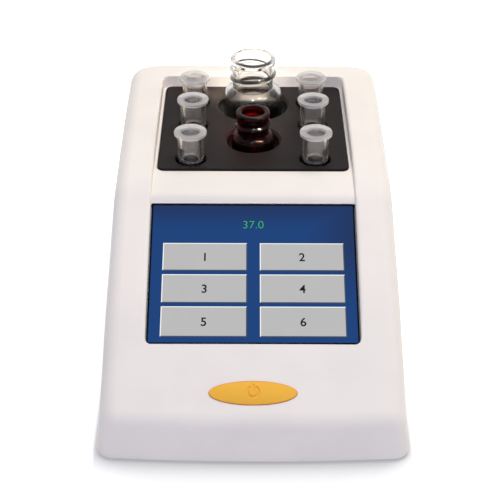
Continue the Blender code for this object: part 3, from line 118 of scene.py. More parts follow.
class AnalyzerColours(bpy.types.PropertyGroup):
    """Colours of the finishes."""
    case: tint("Case", "Cream moulded plastic", linear(241, 234, 226))
    plate: tint("Plate", "Charcoal coated plate", linear(36, 31, 30))
    cuvette: tint("Cuvettes", "Milky clear plastic", linear(243, 239, 235))
    glass: tint("Bottle", "Clear glass", linear(242, 240, 237))
    amber: tint("Vial", "Amber glass", linear(186, 28, 14))
    picture: tint("Picture", "Blue of the lit screen", linear(28, 67, 125))
    # Partly the screen's own tone and partly painted shade from the riser above the glass.
    picture_top: tint("Picture top", "Blue of the screen's upper edge", linear(33, 50, 90))
    key: tint("Keys", "Grey of the keys on the screen", linear(187, 187, 187))
    readout: tint("Readout", "Green of the number in the readout", linear(62, 204, 66))
    button: tint("Button", "Amber moulded plastic", linear(244, 184, 70))
    key_light: tint("Key light", "Colour of the lamp above and behind", (1.0, 0.945, 0.78))
    fill_light: tint("Fill light", "Colour of the lamp in front", (0.57, 0.61, 1.0))
    surround: tint("Surround", "Colour of the surrounding light", (0.93, 0.95, 1.0))


class AnalyzerStage(bpy.types.PropertyGroup):
    """Light levels of the stage."""
    key_power: level("Key power", "Power of the lamp above and behind", 5.5, unit="POWER")
    fill_power: level("Fill power", "Power of the lamp in front", 2.5, unit="POWER")
    surround_level: level("Surround level", "Strength of the surrounding light", 0.44, subtype="FACTOR")


class Wire:
    """One output of a shader node. Arithmetic on it adds Math nodes."""

    def __init__(self, paint, socket):
        self.paint = paint
        self.socket = socket

    def math(self, operation, *values):
        return self.paint.node("ShaderNodeMath", {"operation": operation}, dict(enumerate(values)))

    def __add__(self, other):
        return self.math("ADD", self, other)

    def __sub__(self, other):
        return self.math("SUBTRACT", self, other)

    def __rsub__(self, other):
        return self.math("SUBTRACT", other, self)

    def __mul__(self, other):
        return self.math("MULTIPLY", self, other)

    __radd__ = __add__
    __rmul__ = __mul__

    def size(self):
        return self.math("ABSOLUTE", self)

    def part(self):
        """What is left after the whole number."""
        return self.math("FRACT", self)

    def larger(self, other):
        return self.math("MAXIMUM", self, other)

    def step(self, low, high, start=0.0, end=1.0):
        """Runs smoothly from start to end as the value runs from low to high."""
        return self.paint.node("ShaderNodeMapRange", {"interpolation_type": "SMOOTHSTEP"},
                               {0: self, 1: low, 2: high, 3: start, 4: end})


class Paint:
    """A material's node tree, built from expressions."""

    def __init__(self, name, tree=None):
        if tree is None:
            self.material = bpy.data.materials.new(name)
            self.material.use_nodes = True
            tree = self.material.node_tree
        tree.nodes.clear()
        self.tree = tree

    def node(self, kind, settings=None, values=None, output=0):
        """A node of this type, with its settings and then its sockets' values or links set.

        Gives one of its outputs."""
        node = self.tree.nodes.new(kind)
        for key, value in (settings or {}).items():
            setattr(node, key, value)
        for key, value in (values or {}).items():
            socket = node.inputs[key]
            if isinstance(value, Wire):
                self.tree.links.new(value.socket, socket)
            elif socket.type == "RGBA":
                socket.default_value = (*value[:3], 1)
            else:
                socket.default_value = value
        return Wire(self, node.outputs[output])

    def place(self):
        return self.node("ShaderNodeTexCoord", output="Object")

    def axes(self, vector):
        """The X, Y and Z of a vector."""
        first = self.node("ShaderNodeSeparateXYZ", values={0: vector})
        return [Wire(self, socket) for socket in first.socket.node.outputs]

    def mapped(self, **moves):
        """Object coordinates after a Mapping node with these values."""
        return self.node("ShaderNodeMapping", values={"Vector": self.place(), **moves})

    def within(self, matrix):
        """The X, Y and Z of the place in this matrix's own frame."""
        values = {"Vector": self.place(), "Location": matrix.to_translation(),
                  "Rotation": matrix.to_euler()}
        return self.axes(self.node("ShaderNodeMapping", {"vector_type": "TEXTURE"}, values))

    def noise(self, scale, detail=2.0, vector=None):
        values = {"Vector": vector or self.place(), "Scale": scale, "Detail": detail}
        return self.node("ShaderNodeTexNoise", values=values)

    def mix(self, factor, first, second):
        """Mix of two colours, whose sockets are the Mix node's inputs 6 and 7 and output 2."""
        return self.node("ShaderNodeMix", {"data_type": "RGBA"}, {0: factor, 6: first, 7: second}, 2)

    def shaded(self, factor, colour, amount):
        """The colour, darker by up to amount where the factor is 1."""
        return self.mix(factor, colour, tuple(v * (1 - amount) for v in colour))

    def bump(self, height, distance, strength):
        values = {"Height": height, "Distance": distance, "Strength": strength}
        return self.node("ShaderNodeBump", values=values)

    def skin(self, **values):
        """A Principled shader. Its values have its sockets' names, with underscores for spaces."""
        values = {key.replace("_", " "): value for key, value in values.items()}
        return self.node("ShaderNodeBsdfPrincipled", values=values)

    def blend(self, factor, first, second):
        return self.node("ShaderNodeMixShader", values={0: factor, 1: first, 2: second})

    def done(self, shader, output="ShaderNodeOutputMaterial"):
        """Links the shader to the output, and gives the material if the tree is one's."""
        end = self.tree.nodes.new(output)
        self.tree.links.new(shader.socket, end.inputs["Surface"])
        return getattr(self, "material", None)

    def covered(self, **values):
        """The material with a Principled shader of these values alone."""
        return self.done(self.skin(**values))


def moulded_plastic(name, colour, roughness=0.40):
    """Moulded plastic: spark-eroded grain, faint flow marks and slightly uneven gloss."""
    paint = Paint(name)
    grit = paint.noise(2600, 3)
    flow = paint.noise(55, 4)
    handled = paint.noise(24, 5)
    base = paint.shaded(flow.step(0.35, 0.75), colour, 0.035)
    rough = handled.step(0.3, 0.7, roughness - 0.04, roughness + 0.05)
    return paint.covered(Base_Color=base, Roughness=rough, Normal=paint.bump(grit, 0.00002, 0.5),
                         Specular_IOR_Level=0.15, Coat_Weight=0.04, Coat_Roughness=0.20)


def coated_metal(name, colour, roughness=0.55):
    """Fine textured coat over metal, with a few paler specks and rub marks."""
    paint = Paint(name)
    texture = paint.noise(1900, 4)
    cloud = paint.noise(34, 5)
    speck = paint.noise(900, 1).step(0.70, 0.76)
    pale = tuple(min(1, v * 1.35 + 0.004) for v in colour)
    base = paint.mix(speck * 0.6, paint.shaded(cloud.step(0.3, 0.7), colour, 0.12), pale)
    rough = cloud.step(0.3, 0.7, roughness + 0.06, roughness - 0.04)
    return paint.covered(Base_Color=base, Roughness=rough, Normal=paint.bump(texture, 0.00003, 0.6),
                         Specular_IOR_Level=0.10)


def brushed_metal(name, colour, roughness=0.32, along=(1, 30, 30)):
    """Machined metal: fine lines along one axis and a light stain."""
    paint = Paint(name)
    lines = paint.noise(220, 4, paint.mapped(Scale=along))
    stain = paint.noise(70, 3)
    base = paint.shaded(stain.step(0.4, 0.8), colour, 0.10)
    rough = lines.step(0.2, 0.8, roughness - 0.08, roughness + 0.10)
    return paint.covered(Base_Color=base, Metallic=1.0, Roughness=rough,
                         Normal=paint.bump(lines, 0.00001, 0.5))


def soft_rubber(name, colour):
    """Matt rubber with a dusty bloom."""
    paint = Paint(name)
    dust = paint.noise(420, 5)
    base = paint.mix(dust.step(0.55, 0.8) * 0.5, colour, (0.09, 0.085, 0.08))
    return paint.covered(Base_Color=base, Roughness=dust.step(0.3, 0.7, 0.75, 0.92),
                         Normal=paint.bump(dust, 0.00003, 0.6), Specular_IOR_Level=0.25)


def circuit_board(name, colour):
    """Solder mask over copper: straight lines in two directions, with round pads between them."""
    lines_per_metre, pads_per_metre, solder = (420, 390), 260, (0.62, 0.60, 0.52)
    paint = Paint(name)
    x, y, _ = paint.axes(paint.place())
    lanes, rows = [((axis * share).part() - 0.5).size().step(0.10, 0.16, 1, 0)
                   for axis, share in zip((x, y), lines_per_metre)]
    patch = paint.noise(60, 0).step(0.49, 0.51)
    line = lanes * patch + rows * (1 - patch)
    cells = paint.node("ShaderNodeTexVoronoi", values={"Vector": paint.place(), "Scale": pads_per_metre})
    pads = cells.step(0.12, 0.16, 1, 0)
    base = paint.mix(line, colour, tuple(v * 1.9 for v in colour))
    base = paint.mix(pads, base, solder)
    return paint.covered(Base_Color=base, Roughness=line.step(0, 1, 0.42, 0.34),
                         Metallic=pads * 0.8, Normal=paint.bump(line + pads, 0.00003, 0.6))


def new_mesh(name, points, faces):
    """A mesh object of these corners and faces, smooth all over."""
    mesh = bpy.data.meshes.new(name)
    mesh.from_pydata(np.asarray(points, float).tolist(), [], [list(face) for face in faces])
    mesh.update()
    mesh.shade_smooth()
    item = bpy.data.objects.new(name, mesh)
    bpy.context.scene.collection.objects.link(item)
    return item


def closed_rings(name, rings):
    """Closed surface through rings of points, rings[i, j] with j going round the axis.

    The first and last ring are drawn together on their means, which close the ends."""
    count, steps = rings.shape[:2]
    around = np.arange(steps)
    ahead = (around + 1) % steps
    ring = np.arange(count - 1)[:, None] * steps
    quads = np.stack([ring + around, ring + ahead, ring + steps + ahead, ring + steps + around], -1)
    start = count * steps
    low = np.stack([np.full(steps, start), ahead, around], -1)
    high = np.stack([start - steps + around, start - steps + ahead, np.full(steps, start + 1)], -1)
    points = np.concatenate([rings.reshape(-1, 3), rings[:1].mean(1), rings[-1:].mean(1)])
    return new_mesh(name, points, quads.reshape(-1, 4).tolist() + low.tolist() + high.tolist())


def rounded(profile, radii):
    """Outline through these corners, each corner turned by a curve that leaves at radius from it.

    The curve is quadratic: (1-t)^2 start + 2t(1-t) corner + t^2 end. It takes less than half of
    either side beside it."""
    points = [np.array(profile[0], float)]
    t = np.linspace(0, 1, ARC_POINTS)[:, None]
    for before, corner, after, radius in zip(profile, profile[1:], profile[2:], radii):
        before, corner, after = (np.array(p, float) for p in (before, corner, after))
        first, second = before - corner, after - corner
        reach = min(radius, np.linalg.norm(first) * 0.49, np.linalg.norm(second) * 0.49)
        start = corner + first / np.linalg.norm(first) * reach
        end = corner + second / np.linalg.norm(second) * reach
        points.extend((1 - t) ** 2 * start + 2 * t * (1 - t) * corner + t ** 2 * end)
    points.append(np.array(profile[-1], float))
    return np.array(points)


def turned(name, profile, steps, centre, widen=None):
    """Surface of revolution: (r cos a, r sin a, z) for each (r, z) of the profile and each angle a.

    widen(a, r, z) may add to the radius."""
    angle = np.linspace(0, 2 * pi, steps, endpoint=False)[None, :]
    radius = np.repeat(profile[:, :1], steps, 1)
    height = np.repeat(profile[:, 1:], steps, 1)
    if widen is not None:
        radius = radius + widen(angle, radius, height)
    rings = np.stack([radius * np.cos(angle), radius * np.sin(angle), height], -1) + np.array(centre)
    return closed_rings(name, rings)


def corners_of(mesh):
    """The mesh's corners, one row each."""
    corners = np.empty(len(mesh.vertices) * 3, np.float32)
    mesh.vertices.foreach_get("co", corners)
    return corners.reshape(-1, 3)


def welded(source, name, angle, dissolve=False):
    """Copy of a CAD node with the corners of its loose triangles merged, smooth but for edges
    over the angle in degrees. dissolve makes one face of the triangles that lie in one plane."""
    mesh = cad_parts[source].data
    indices = np.empty(len(mesh.loops), np.int32)
    mesh.loops.foreach_get("vertex_index", indices)
    points, shared = np.unique(corners_of(mesh), axis=0, return_inverse=True)
    faces = shared.reshape(-1)[indices.reshape(-1, 3)]
    item = new_mesh(name, points, faces.tolist())
    if dissolve:
        shape = bmesh.new()
        shape.from_mesh(item.data)
        bmesh.ops.dissolve_limit(shape, angle_limit=radians(0.5), verts=shape.verts, edges=shape.edges)
        shape.to_mesh(item.data)
        shape.free()
        item.data.shade_smooth()
    item.data.set_sharp_from_angle(angle=radians(angle))
    return item


def softened(item, width):
    """Rounds the item's sharp edges and keeps its flat faces flat."""
    bevel = item.modifiers.new("edges", "BEVEL")
    bevel.width = width
    bevel.segments = 3
    bevel.limit_method = "ANGLE"
    bevel.angle_limit = radians(35)
    bevel.harden_normals = True
    return item


def even_shading(item):
    """Normals weighted by face size, so that broad faces look flat beside their rounded edges."""
    weighted = item.modifiers.new("shading", "WEIGHTED_NORMAL")
    weighted.keep_sharp = True
    return item


def finished(item, material, body, *nodes, slot=None):
    """Gives the item its material and body, and hides the CAD nodes it stands for."""
    item.data.materials.clear()
    item.data.materials.append(material)
    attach(item, body)
    if nodes:
        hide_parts(*nodes)
    return item


def repaint(material, *names):
    """Gives CAD nodes that keep their own shape this material."""
    for name in names:
        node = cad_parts[name]
        node.data.materials.clear()
        node.data.materials.append(material)


def middle(name):
    """Centre of a node's box in X and Y, and its lowest height."""
    low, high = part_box(name)
    return Vector(((low.x + high.x) / 2, (low.y + high.y) / 2, low.z))


def round_size(name):
    """Radius, height and top of a round node, from its box."""
    low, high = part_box(name)
    return (high.x - low.x) / 2, high.z - low.z, high.z


def slope_frame(name, degrees, depth):
    """Frame on a node's sloping front face: its middle, +Y up the slope and +Z out of it.

    depth is how far the frame lies under the node's highest point, measured across the slope."""
    turn = Matrix.Rotation(radians(degrees), 4, "X")
    local = corners_of(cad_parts[name].data) @ np.array(turn.to_3x3())
    low, high = local.min(0), local.max(0)
    centre = Vector((float(low[0] + high[0]) / 2, float(low[1] + high[1]) / 2,
                     float(high[2]) - depth))
    return Matrix.Translation(turn @ centre) @ turn


def aimed(origin, target):
    """Place of a lamp or camera at the origin, with -Z towards the target and Y upward."""
    ahead = Vector(target) - Vector(origin)
    return Matrix.Translation(origin) @ ahead.to_track_quat("-Z", "Y").to_matrix().to_4x4()


def put(item, matrix):
    """Moves the item's mesh into its place, so that its object stays at the origin."""
    item.data.transform(matrix)
    item.data.update()
    return item


def shaded_through(paint, body, share, colour):
    """The material, with that share of the lamps' light let through its shadow in this colour."""
    shadow = paint.node("ShaderNodeLightPath", output="Is Shadow Ray")
    through = paint.node("ShaderNodeBsdfTransparent", values={"Color": colour})
    return paint.done(paint.blend(shadow * share, body, through))


class ANALYZER_OT_case(bpy.types.Operator):
    """Case top, base pan and the two sockets in the back wall"""
    bl_idname = "analyzer.case"
    bl_label = "Case"

    def execute(self, context):
        cream = context.scene.analyzer_colours.case
        # Node, new name, sharp angle, bevel's width, slot and material.
        for node, name, angle, bevel, slot, material in (
                ("upper_shell", "case_top", 32, None, "case_cream", moulded_plastic("case_plastic", cream)),
                ("base_pan", "case_pan", 30, None, "pan_cream", moulded_plastic("pan_plastic", cream, 0.48)),
                ("dc_inlet", "power_inlet", 35, 0.0002, "inlet_black",
                 moulded_plastic("inlet_plastic", (0.018, 0.018, 0.019), 0.38)),
                ("data_socket", "data_port", 35, 0.00025, "socket_grey",
                 brushed_metal("socket_metal", (0.55, 0.55, 0.56), 0.30))):
            item = welded(node, name, angle, dissolve=bool(bevel))
            item = softened(item, bevel) if bevel else even_shading(item)
            finished(item, material, "case", node, slot=slot)
        return {"FINISHED"}


class ANALYZER_OT_plate(bpy.types.Operator):
    """Charcoal plate with its eight holes"""
    bl_idname = "analyzer.plate"
    bl_label = "Plate"

    def execute(self, context):
        coat = coated_metal("plate_coat", context.scene.analyzer_colours.plate)
        plate = softened(welded("well_plate", "dark_plate", 30, dissolve=True), 0.00022)
        finished(plate, coat, "case", "well_plate", slot="plate_charcoal")
        return {"FINISHED"}


class ANALYZER_OT_cuvettes(bpy.types.Operator):
    """Six milky cuvettes, turned from one profile"""
    bl_idname = "analyzer.cuvettes"
    bl_label = "Cuvettes"

    # Each radius as a share of the flange's.
    TUBE, MOUTH, BORE = 49 / 60, 36 / 60, 33 / 60
    # How far below the top the milkiness changes: under the flange, over the ledge and at the step.
    FLANGE_LEVEL, LEDGE_LEVEL, STEP_LEVEL = 0.0010, 0.01045, 0.0112
    # Shares of milky plastic: everywhere, and added in the tube's front and rear, ledge and flange. The
    # rear's larger share is painted light, whitening the tube's back wall where light falls on it.
    MILK, MILK_FRONT, MILK_REAR, MILK_LEDGE, MILK_FLANGE = 0.008, 0.014, 0.16, 0.20, 0.29

    def finish(self, name, colour, row):
        """Milky plastic: clearer in front and below the step, whiter in the flange, with faint
        moulding lines. Above the step its rear wall is milkier as painted light, standing for the
        light on the tube's back wall. row is the Y of the cuvettes' axes."""
        paint = Paint(name)
        _, y, z = paint.axes(paint.place())
        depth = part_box("cuvette_1")[1].z - z
        above = depth.step(self.STEP_LEVEL - 0.0002, self.STEP_LEVEL + 0.0002, 1, 0)
        # Painted light: the rear half of the tube gets much more milk, so that its back wall looks lit.
        lit_rear_share = y.step(row + 0.0005, row + 0.0025, self.MILK_FRONT, self.MILK_REAR)
        flange = depth.step(self.FLANGE_LEVEL - 0.0001, self.FLANGE_LEVEL + 0.0001,
                            self.MILK_FLANGE, 0)
        ledge = above * depth.step(self.LEDGE_LEVEL - 0.00015, self.LEDGE_LEVEL + 0.00015,
                                   0, self.MILK_LEDGE)
        streak = paint.noise(700, 2, paint.mapped(Scale=(1, 1, 0.08)))
        clear = paint.skin(Base_Color=colour, Roughness=streak.step(0.3, 0.7, 0.0, 0.015), IOR=1.45,
                           Transmission_Weight=1.0, Coat_Weight=0.25, Coat_Roughness=0.16, Coat_IOR=1.4)
        milk = paint.skin(Base_Color=paint.shaded(streak, colour, 0.06), Roughness=0.30, IOR=1.42,
                          Subsurface_Weight=0.15, Subsurface_Radius=(0.001, 0.001, 0.001),
                          Subsurface_Scale=1.0)
        share = (lit_rear_share * above + ledge + self.MILK) * streak.step(0.3, 0.7, 0.8, 1.2) + flange
        return shaded_through(paint, paint.blend(share, clear, milk), 0.75, (0.85, 0.85, 0.87))

    def execute(self, context):
        sizes = context.scene.analyzer_sizes
        flange, height, top = round_size("cuvette_1")
        tube, mouth, bore = (flange * share for share in (self.TUBE, self.MOUTH, self.BORE))
        edge, thick, narrowing = sizes.cuvette_round, sizes.cuvette_flange, sizes.cuvette_narrowing
        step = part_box("well_plate")[1].z - (top - height) + sizes.cuvette_step
        lower, chamber, inner_floor = tube - narrowing, bore - narrowing * 0.8, 1.4 * thick
        outside = [(0, 0), (lower * 0.90, 0), (lower, lower * 0.10), (lower, step - edge), (tube, step),
                   (tube, height - thick), (flange, height - thick), (flange, height)]
        inside = [(mouth, height), (bore, height - 0.6 * thick), (bore, step + narrowing),
                  (chamber, step + narrowing * 0.6), (chamber, inner_floor), (0, inner_floor)]
        radii = [edge * 2] * 2 + [edge] * 5 + [edge * 0.7] * 2 + [edge] * 2 + [chamber]
        profile = rounded(outside + inside, radii)
        colour = context.scene.analyzer_colours.cuvette
        for row, names in enumerate(zip(CUVETTES[::2], CUVETTES[1::2])):
            material = self.finish(f"cuvette_plastic_{row + 1}", colour, middle(names[0]).y)
            for name in names:
                tube_item = turned(name + "_tube", profile[1:-1], CUVETTE_STEPS, middle(name))
                finished(tube_item, material, name, name, slot="cuvette_frosted")
        return {"FINISHED"}


def glass(name, colour, bend, gloss_share, body_colour=None, density=0.0, thin=None):
    """Glass: smooth, with faint smears in its gloss, that lets most lamp light through its shadow.

    bend is its index of refraction, and gloss_share weakens its plain reflection. body_colour
    is mixed in, in the share density, as what dark glass shows where no light comes through.
    thin is (low, high, share): below low, that share of the light goes straight through, less
    an eighth of it at each crossing."""
    paint = Paint(name)
    cloud = paint.noise(160, 4)
    gloss = cloud.step(0.45, 0.8, 0.0, 0.012)
    coat = dict(Coat_Weight=0.3, Coat_Roughness=0.09, Coat_IOR=1.25)
    body = paint.skin(Base_Color=colour, Roughness=gloss, IOR=bend, Transmission_Weight=1.0,
                      Specular_Tint=(gloss_share,) * 3, **coat)
    if body_colour:
        dark = paint.skin(Base_Color=paint.shaded(cloud, body_colour, 0.2), Roughness=gloss, IOR=1.45,
                          Specular_IOR_Level=0.0, **coat)
        body = paint.blend(density, body, dark)
    if thin:
        low, high, share = thin
        straight = paint.axes(paint.place())[2].step(low, high, share, 0)
        dimmed = [value * 0.88 for value in colour]
        wall = paint.node("ShaderNodeBsdfTransparent", values={"Color": dimmed})
        body = paint.blend(straight, body, wall)
    return shaded_through(paint, body, 0.8, colour)


def vessel_outline(height, radius, neck, rim, rim_height, bore, neck_length, shoulder):
    """Profile of a glass vessel: foot, wall, an elliptic shoulder, neck, rim, and back down inside it.

    neck, rim and bore are radii. shoulder is the shoulder's height."""
    wall = GLASS_WALL
    neck_foot = height - neck_length
    quarter = np.linspace(0, pi / 2, 18)
    shoulder_out = np.stack([neck + (radius - neck) * np.cos(quarter),
                             neck_foot - shoulder + shoulder * np.sin(quarter)], -1)
    shoulder_in = np.stack([bore + (radius - wall - bore) * np.sin(quarter),
                            neck_foot - shoulder - wall + shoulder * np.cos(quarter)], -1)
    foot = rounded([(0, wall * 0.5), (radius * 0.55, wall * 0.5), (radius * 0.72, 0), (radius, 0),
                    (radius, neck_foot - shoulder)], [wall, wall, wall])
    rise = np.linspace(neck_foot + wall * 0.1, height - rim_height, 90)
    threaded = np.stack([np.full_like(rise, neck), rise], -1)
    lip = rounded([(neck, height - rim_height), (rim, height - rim_height + wall * 0.3), (rim, height),
                   (bore, height), (bore, neck_foot - wall * 0.2)],
                  [wall * 0.3, rim_height * 0.5, wall * 0.45])
    hollow = rounded([(radius - wall, neck_foot - shoulder - wall), (radius - wall, wall),
                      (0, wall * 1.6)], [2 * wall])
    return np.concatenate([foot[1:], shoulder_out[1:], threaded, lip[1:], shoulder_in, hollow[1:-1]])


class ANALYZER_OT_bottles(bpy.types.Operator):
    """Clear bottle and amber vial, each with a thread wound round its neck"""
    bl_idname = "analyzer.bottles"
    bl_label = "Bottle and vial"

    def vessel(self, name, node, material, slot, body, parts, pitch, stand_out, bare):
        """Turned vessel whose neck is widened by a helical ridge, with a bare share of it on top.

        The ridge is a raised cosine of the height above the helix z = start + pitch * angle / (2 pi),
        faded in and out over the first and last fifth of a turn."""
        height, neck, neck_length = parts["height"], parts["neck"], parts["neck_length"]
        start = height - neck_length * 0.86
        end = height - parts["rim_height"] - neck_length * bare
        half_ridge, fade = 0.34, pitch * 0.2

        def ridge(angle, r, z):
            phase = (z - start) / pitch - angle / (2 * pi)
            turn = np.round(phase)
            along = np.clip((phase - turn) / half_ridge, -1, 1)
            centre = start + pitch * (turn + angle / (2 * pi))
            reach = np.clip((centre - start) / fade, 0, 1) * np.clip((end - centre) / fade, 0, 1)
            on_neck = np.abs(r - neck) < neck * 0.002
            return stand_out * (0.5 + 0.5 * np.cos(pi * along)) * reach * on_neck

        item = turned(name, vessel_outline(**parts), VESSEL_STEPS, middle(node), ridge)
        finished(item, material, body, node, slot=slot)

    def execute(self, context):
        sizes, colours = context.scene.analyzer_sizes, context.scene.analyzer_colours
        radius, height, top = round_size("clear_reagent_bottle")
        bottle = dict(height=height, radius=radius, neck=radius * 0.692, rim=radius * 0.752,
                      rim_height=0.0026, bore=radius * 0.590, neck_length=0.0122, shoulder=0.0050)
        clear_glass = glass("clear_glass", colours.glass, bend=1.42, gloss_share=0.5,
                            thin=(top - 0.0180, top - 0.0130, 0.84))
        self.vessel("clear_bottle_glass", "clear_reagent_bottle", clear_glass, "bottle_glass",
                    "clear_bottle", bottle, sizes.bottle_pitch, sizes.bottle_thread, bare=0.10)
        radius, height, _ = round_size("amber_reagent_vial")
        vial = dict(height=height, radius=radius, neck=radius * 0.732, rim=radius * 0.780,
                    rim_height=0.0018, bore=radius * 0.524, neck_length=0.0088, shoulder=0.0033)
        amber_glass = glass("amber_glass", colours.amber, bend=1.34, gloss_share=0.05,
                            body_colour=(0.006, 0.002, 0.002), density=0.42)
        self.vessel("amber_vial_glass", "amber_reagent_vial", amber_glass, "vial_amber", "amber_vial",
                    vial, sizes.vial_pitch, sizes.vial_thread, bare=0.12)
        return {"FINISHED"}


def rectangle_rings(half_width, half_length, corners, insets, heights):
    """Rings of a rounded rectangle: the outline moved inward by each inset and put at its height.

    corners are the radii at the upper and lower end. A corner is centre + radius * (cos a, sin a),
    with the radius less the inset, and no less than a tenth of it."""
    rings = []
    for inset, height in zip(insets, heights):
        points = []
        for index, (sx, sy) in enumerate(((1, 1), (-1, 1), (-1, -1), (1, -1))):
            radius = corners[0 if sy > 0 else 1]
            left = max(radius - inset, radius * 0.1)
            angle = np.linspace(0, pi / 2, SCREEN_CORNER_POINTS) + index * pi / 2
            points.append(np.stack([sx * (half_width - inset - left) + left * np.cos(angle),
                                    sy * (half_length - inset - left) + left * np.sin(angle),
                                    np.full(SCREEN_CORNER_POINTS, height)], -1))
        rings.append(np.concatenate(points))
    return np.array(rings)


class ANALYZER_OT_screen(bpy.types.Operator):
    """Touch glass with its lit picture, six keys and the readout"""
    bl_idname = "analyzer.screen"
    bl_label = "Screen"

    # Degrees, and then lengths from the middle of the glass, X to the right and Y up the slope.
    SLOPE = 27.5
    KEY_COLUMNS = ((-0.0317, -0.0021), (0.00236, 0.03195))
    KEY_ROWS = ((0.0006, 0.0116), (-0.0120, -0.0009), (-0.0249, -0.0134))
    READOUT = (0, 0.01927)
    HALF_WIDTH, HALF_LENGTH, DEPTH, EDGE = 0.0363, 0.02765, 0.0011, 0.00018
    CORNERS = 0.0004, 0.0017
    # Heights over the glass, and how much the digits' strokes are widened.
    KEY_LIFT, READOUT_LIFT, DIGIT_LIFT = 0.00004, 0.00005, 0.00007
    DIGIT_WEIGHT, READOUT_WEIGHT = 0.00007, -0.00009
    CAPITAL_SHARE = 0.73
    GLASS_BLACK = (0.004, 0.004, 0.005)
    # Materials of a key: its face, and the edges that look lit and shaded.
    FACE, LIGHT, DARK = 0, 1, 2

    def picture(self, place, border, colours):
        """Lit picture inside a black border, with fine scan lines: (1 + sin(2 pi y / pitch)) / 2.
        It is darker at the top, partly as the screen's own tone and partly as painted shade and
        reflection from the riser above it, and darker towards the upper right."""
        paint = Paint("screen_picture")
        x, y, _ = paint.within(place)
        outside = (x.size() - (self.HALF_WIDTH - border)).larger(y.size() - (self.HALF_LENGTH - border))
        lit = outside.step(-0.00006, 0.00006, 1, 0)
        pitch = 0.00022
        wave = y * (2 * pi / pitch)
        lines = wave.math("SINE", wave) * 0.5 + 0.5
        # Painted shade: the blue is dimmed towards the top, under the riser, and towards the upper right,
        # along with the screen's own tone.
        top = y.step(0.016, 0.028) * 0.8
        tone_and_painted_shade = top.larger(x.step(0.016, 0.036) * y.step(-0.014, 0.013) * 0.75)
        blue = paint.mix(tone_and_painted_shade, colours.picture, colours.picture_top)
        blue = paint.mix(lines * 0.06, blue, (0, 0, 0))
        smear = paint.noise(90, 5)
        return paint.covered(Base_Color=self.GLASS_BLACK, Roughness=smear.step(0.4, 0.7, 0.16, 0.26),
                             Emission_Color=paint.mix(lit, (0, 0, 0), blue), Emission_Strength=1.0,
                             Specular_IOR_Level=0.01)

    def lit(self, name, colour):
        """Plain lit area of the picture, with the faint unevenness of a lamp behind it."""
        paint = Paint(name)
        cloud = paint.noise(130, 2)
        return paint.covered(Base_Color=self.GLASS_BLACK, Roughness=cloud.step(0.3, 0.7, 0.22, 0.28),
                             Emission_Color=paint.shaded(cloud.step(0.3, 0.7), colour, 0.02),
                             Emission_Strength=1.0, Specular_IOR_Level=0.08)

    def keys(self, place, edge, materials):
        """Six keys in one mesh: each a flat face in two rings of four strips, dark below and right
        of it and light above and left of it."""
        points, faces, kinds = [], [], []
        lift = self.KEY_LIFT
        for y0, y1 in self.KEY_ROWS:
            for x0, x1 in self.KEY_COLUMNS:
                start = len(points)
                for inset, height in ((0, lift * 0.5), (edge * 0.35, lift), (edge, lift)):
                    points += [(x0 + inset, y0 + inset, height), (x1 - inset, y0 + inset, height),
                               (x1 - inset, y1 - inset, height), (x0 + inset, y1 - inset, height)]
                for ring in (start, start + 4):
                    for side, kind in enumerate((self.DARK, self.DARK, self.LIGHT, self.LIGHT)):
                        after = (side + 1) % 4
                        faces.append([ring + side, ring + after, ring + 4 + after, ring + 4 + side])
                        kinds.append(kind)
                faces.append([start + 8 + side for side in range(4)])
                kinds.append(self.FACE)
        item = new_mesh("screen_keys", points, faces)
        for material in materials:
            item.data.materials.append(material)
        item.data.polygons.foreach_set("material_index", kinds)
        item.data.polygons.foreach_set("use_smooth", [False] * len(kinds))
        put(item, place)
        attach(item, "case")

    def number(self, name, text, centre, height, place, lift, material, weight):
        """A plain number, made a mesh and laid on the glass."""
        curve = bpy.data.curves.new(name, "FONT")
        curve.body = text
        curve.size = height / self.CAPITAL_SHARE
        curve.align_x = "CENTER"
        curve.resolution_u = 6
        curve.offset = weight
        writer = bpy.data.objects.new(name + "_text", curve)
        context = bpy.context
        context.scene.collection.objects.link(writer)
        context.view_layer.update()
        drawn = writer.evaluated_get(context.evaluated_depsgraph_get())
        mesh = bpy.data.meshes.new_from_object(drawn)
        bpy.data.objects.remove(writer)
        mesh.name = name
        item = bpy.data.objects.new(name, mesh)
        context.scene.collection.objects.link(item)
        put(item, place @ Matrix.Translation((centre[0], centre[1] - height / 2, lift)))
        finished(item, material, "case")

    def execute(self, context):
        sizes, colours = context.scene.analyzer_sizes, context.scene.analyzer_colours
        place = slope_frame("touch_glass", self.SLOPE, 0)
        edge, depth = self.EDGE, self.DEPTH
        insets = (0.0006, edge, 0, 0, edge * 0.3, edge, 0.004, 0.016)
        heights = (-depth, -depth, edge - depth, -edge, -edge * 0.3, 0, 0, 0)
        rings = rectangle_rings(self.HALF_WIDTH, self.HALF_LENGTH, self.CORNERS, insets, heights)
        slab = put(closed_rings("screen_glass", rings), place)
        picture = self.picture(place, sizes.border, colours)
        finished(slab, picture, "case", "touch_glass", slot="glass_blue")
        self.keys(place, sizes.key_edge,
                  [self.lit("key_grey", colours.key), self.lit("key_light_edge", (0.96, 0.97, 0.97)),
                   self.lit("key_dark_edge", (0.085, 0.088, 0.09))])
        ink = self.lit("key_ink", (0.004, 0.004, 0.004))
        green = self.lit("readout_green", colours.readout)
        middles = [((x0 + x1) / 2, (y0 + y1) / 2)
                   for y0, y1 in self.KEY_ROWS for x0, x1 in self.KEY_COLUMNS]
        for count, centre in enumerate(middles, 1):
            self.number(f"key_number_{count}", str(count), centre, sizes.digit_height, place,
                        self.DIGIT_LIFT, ink, self.DIGIT_WEIGHT)
        self.number("readout_number", "37.0", self.READOUT, sizes.digit_height, place,
                    self.READOUT_LIFT, green, self.READOUT_WEIGHT)
        return {"FINISHED"}


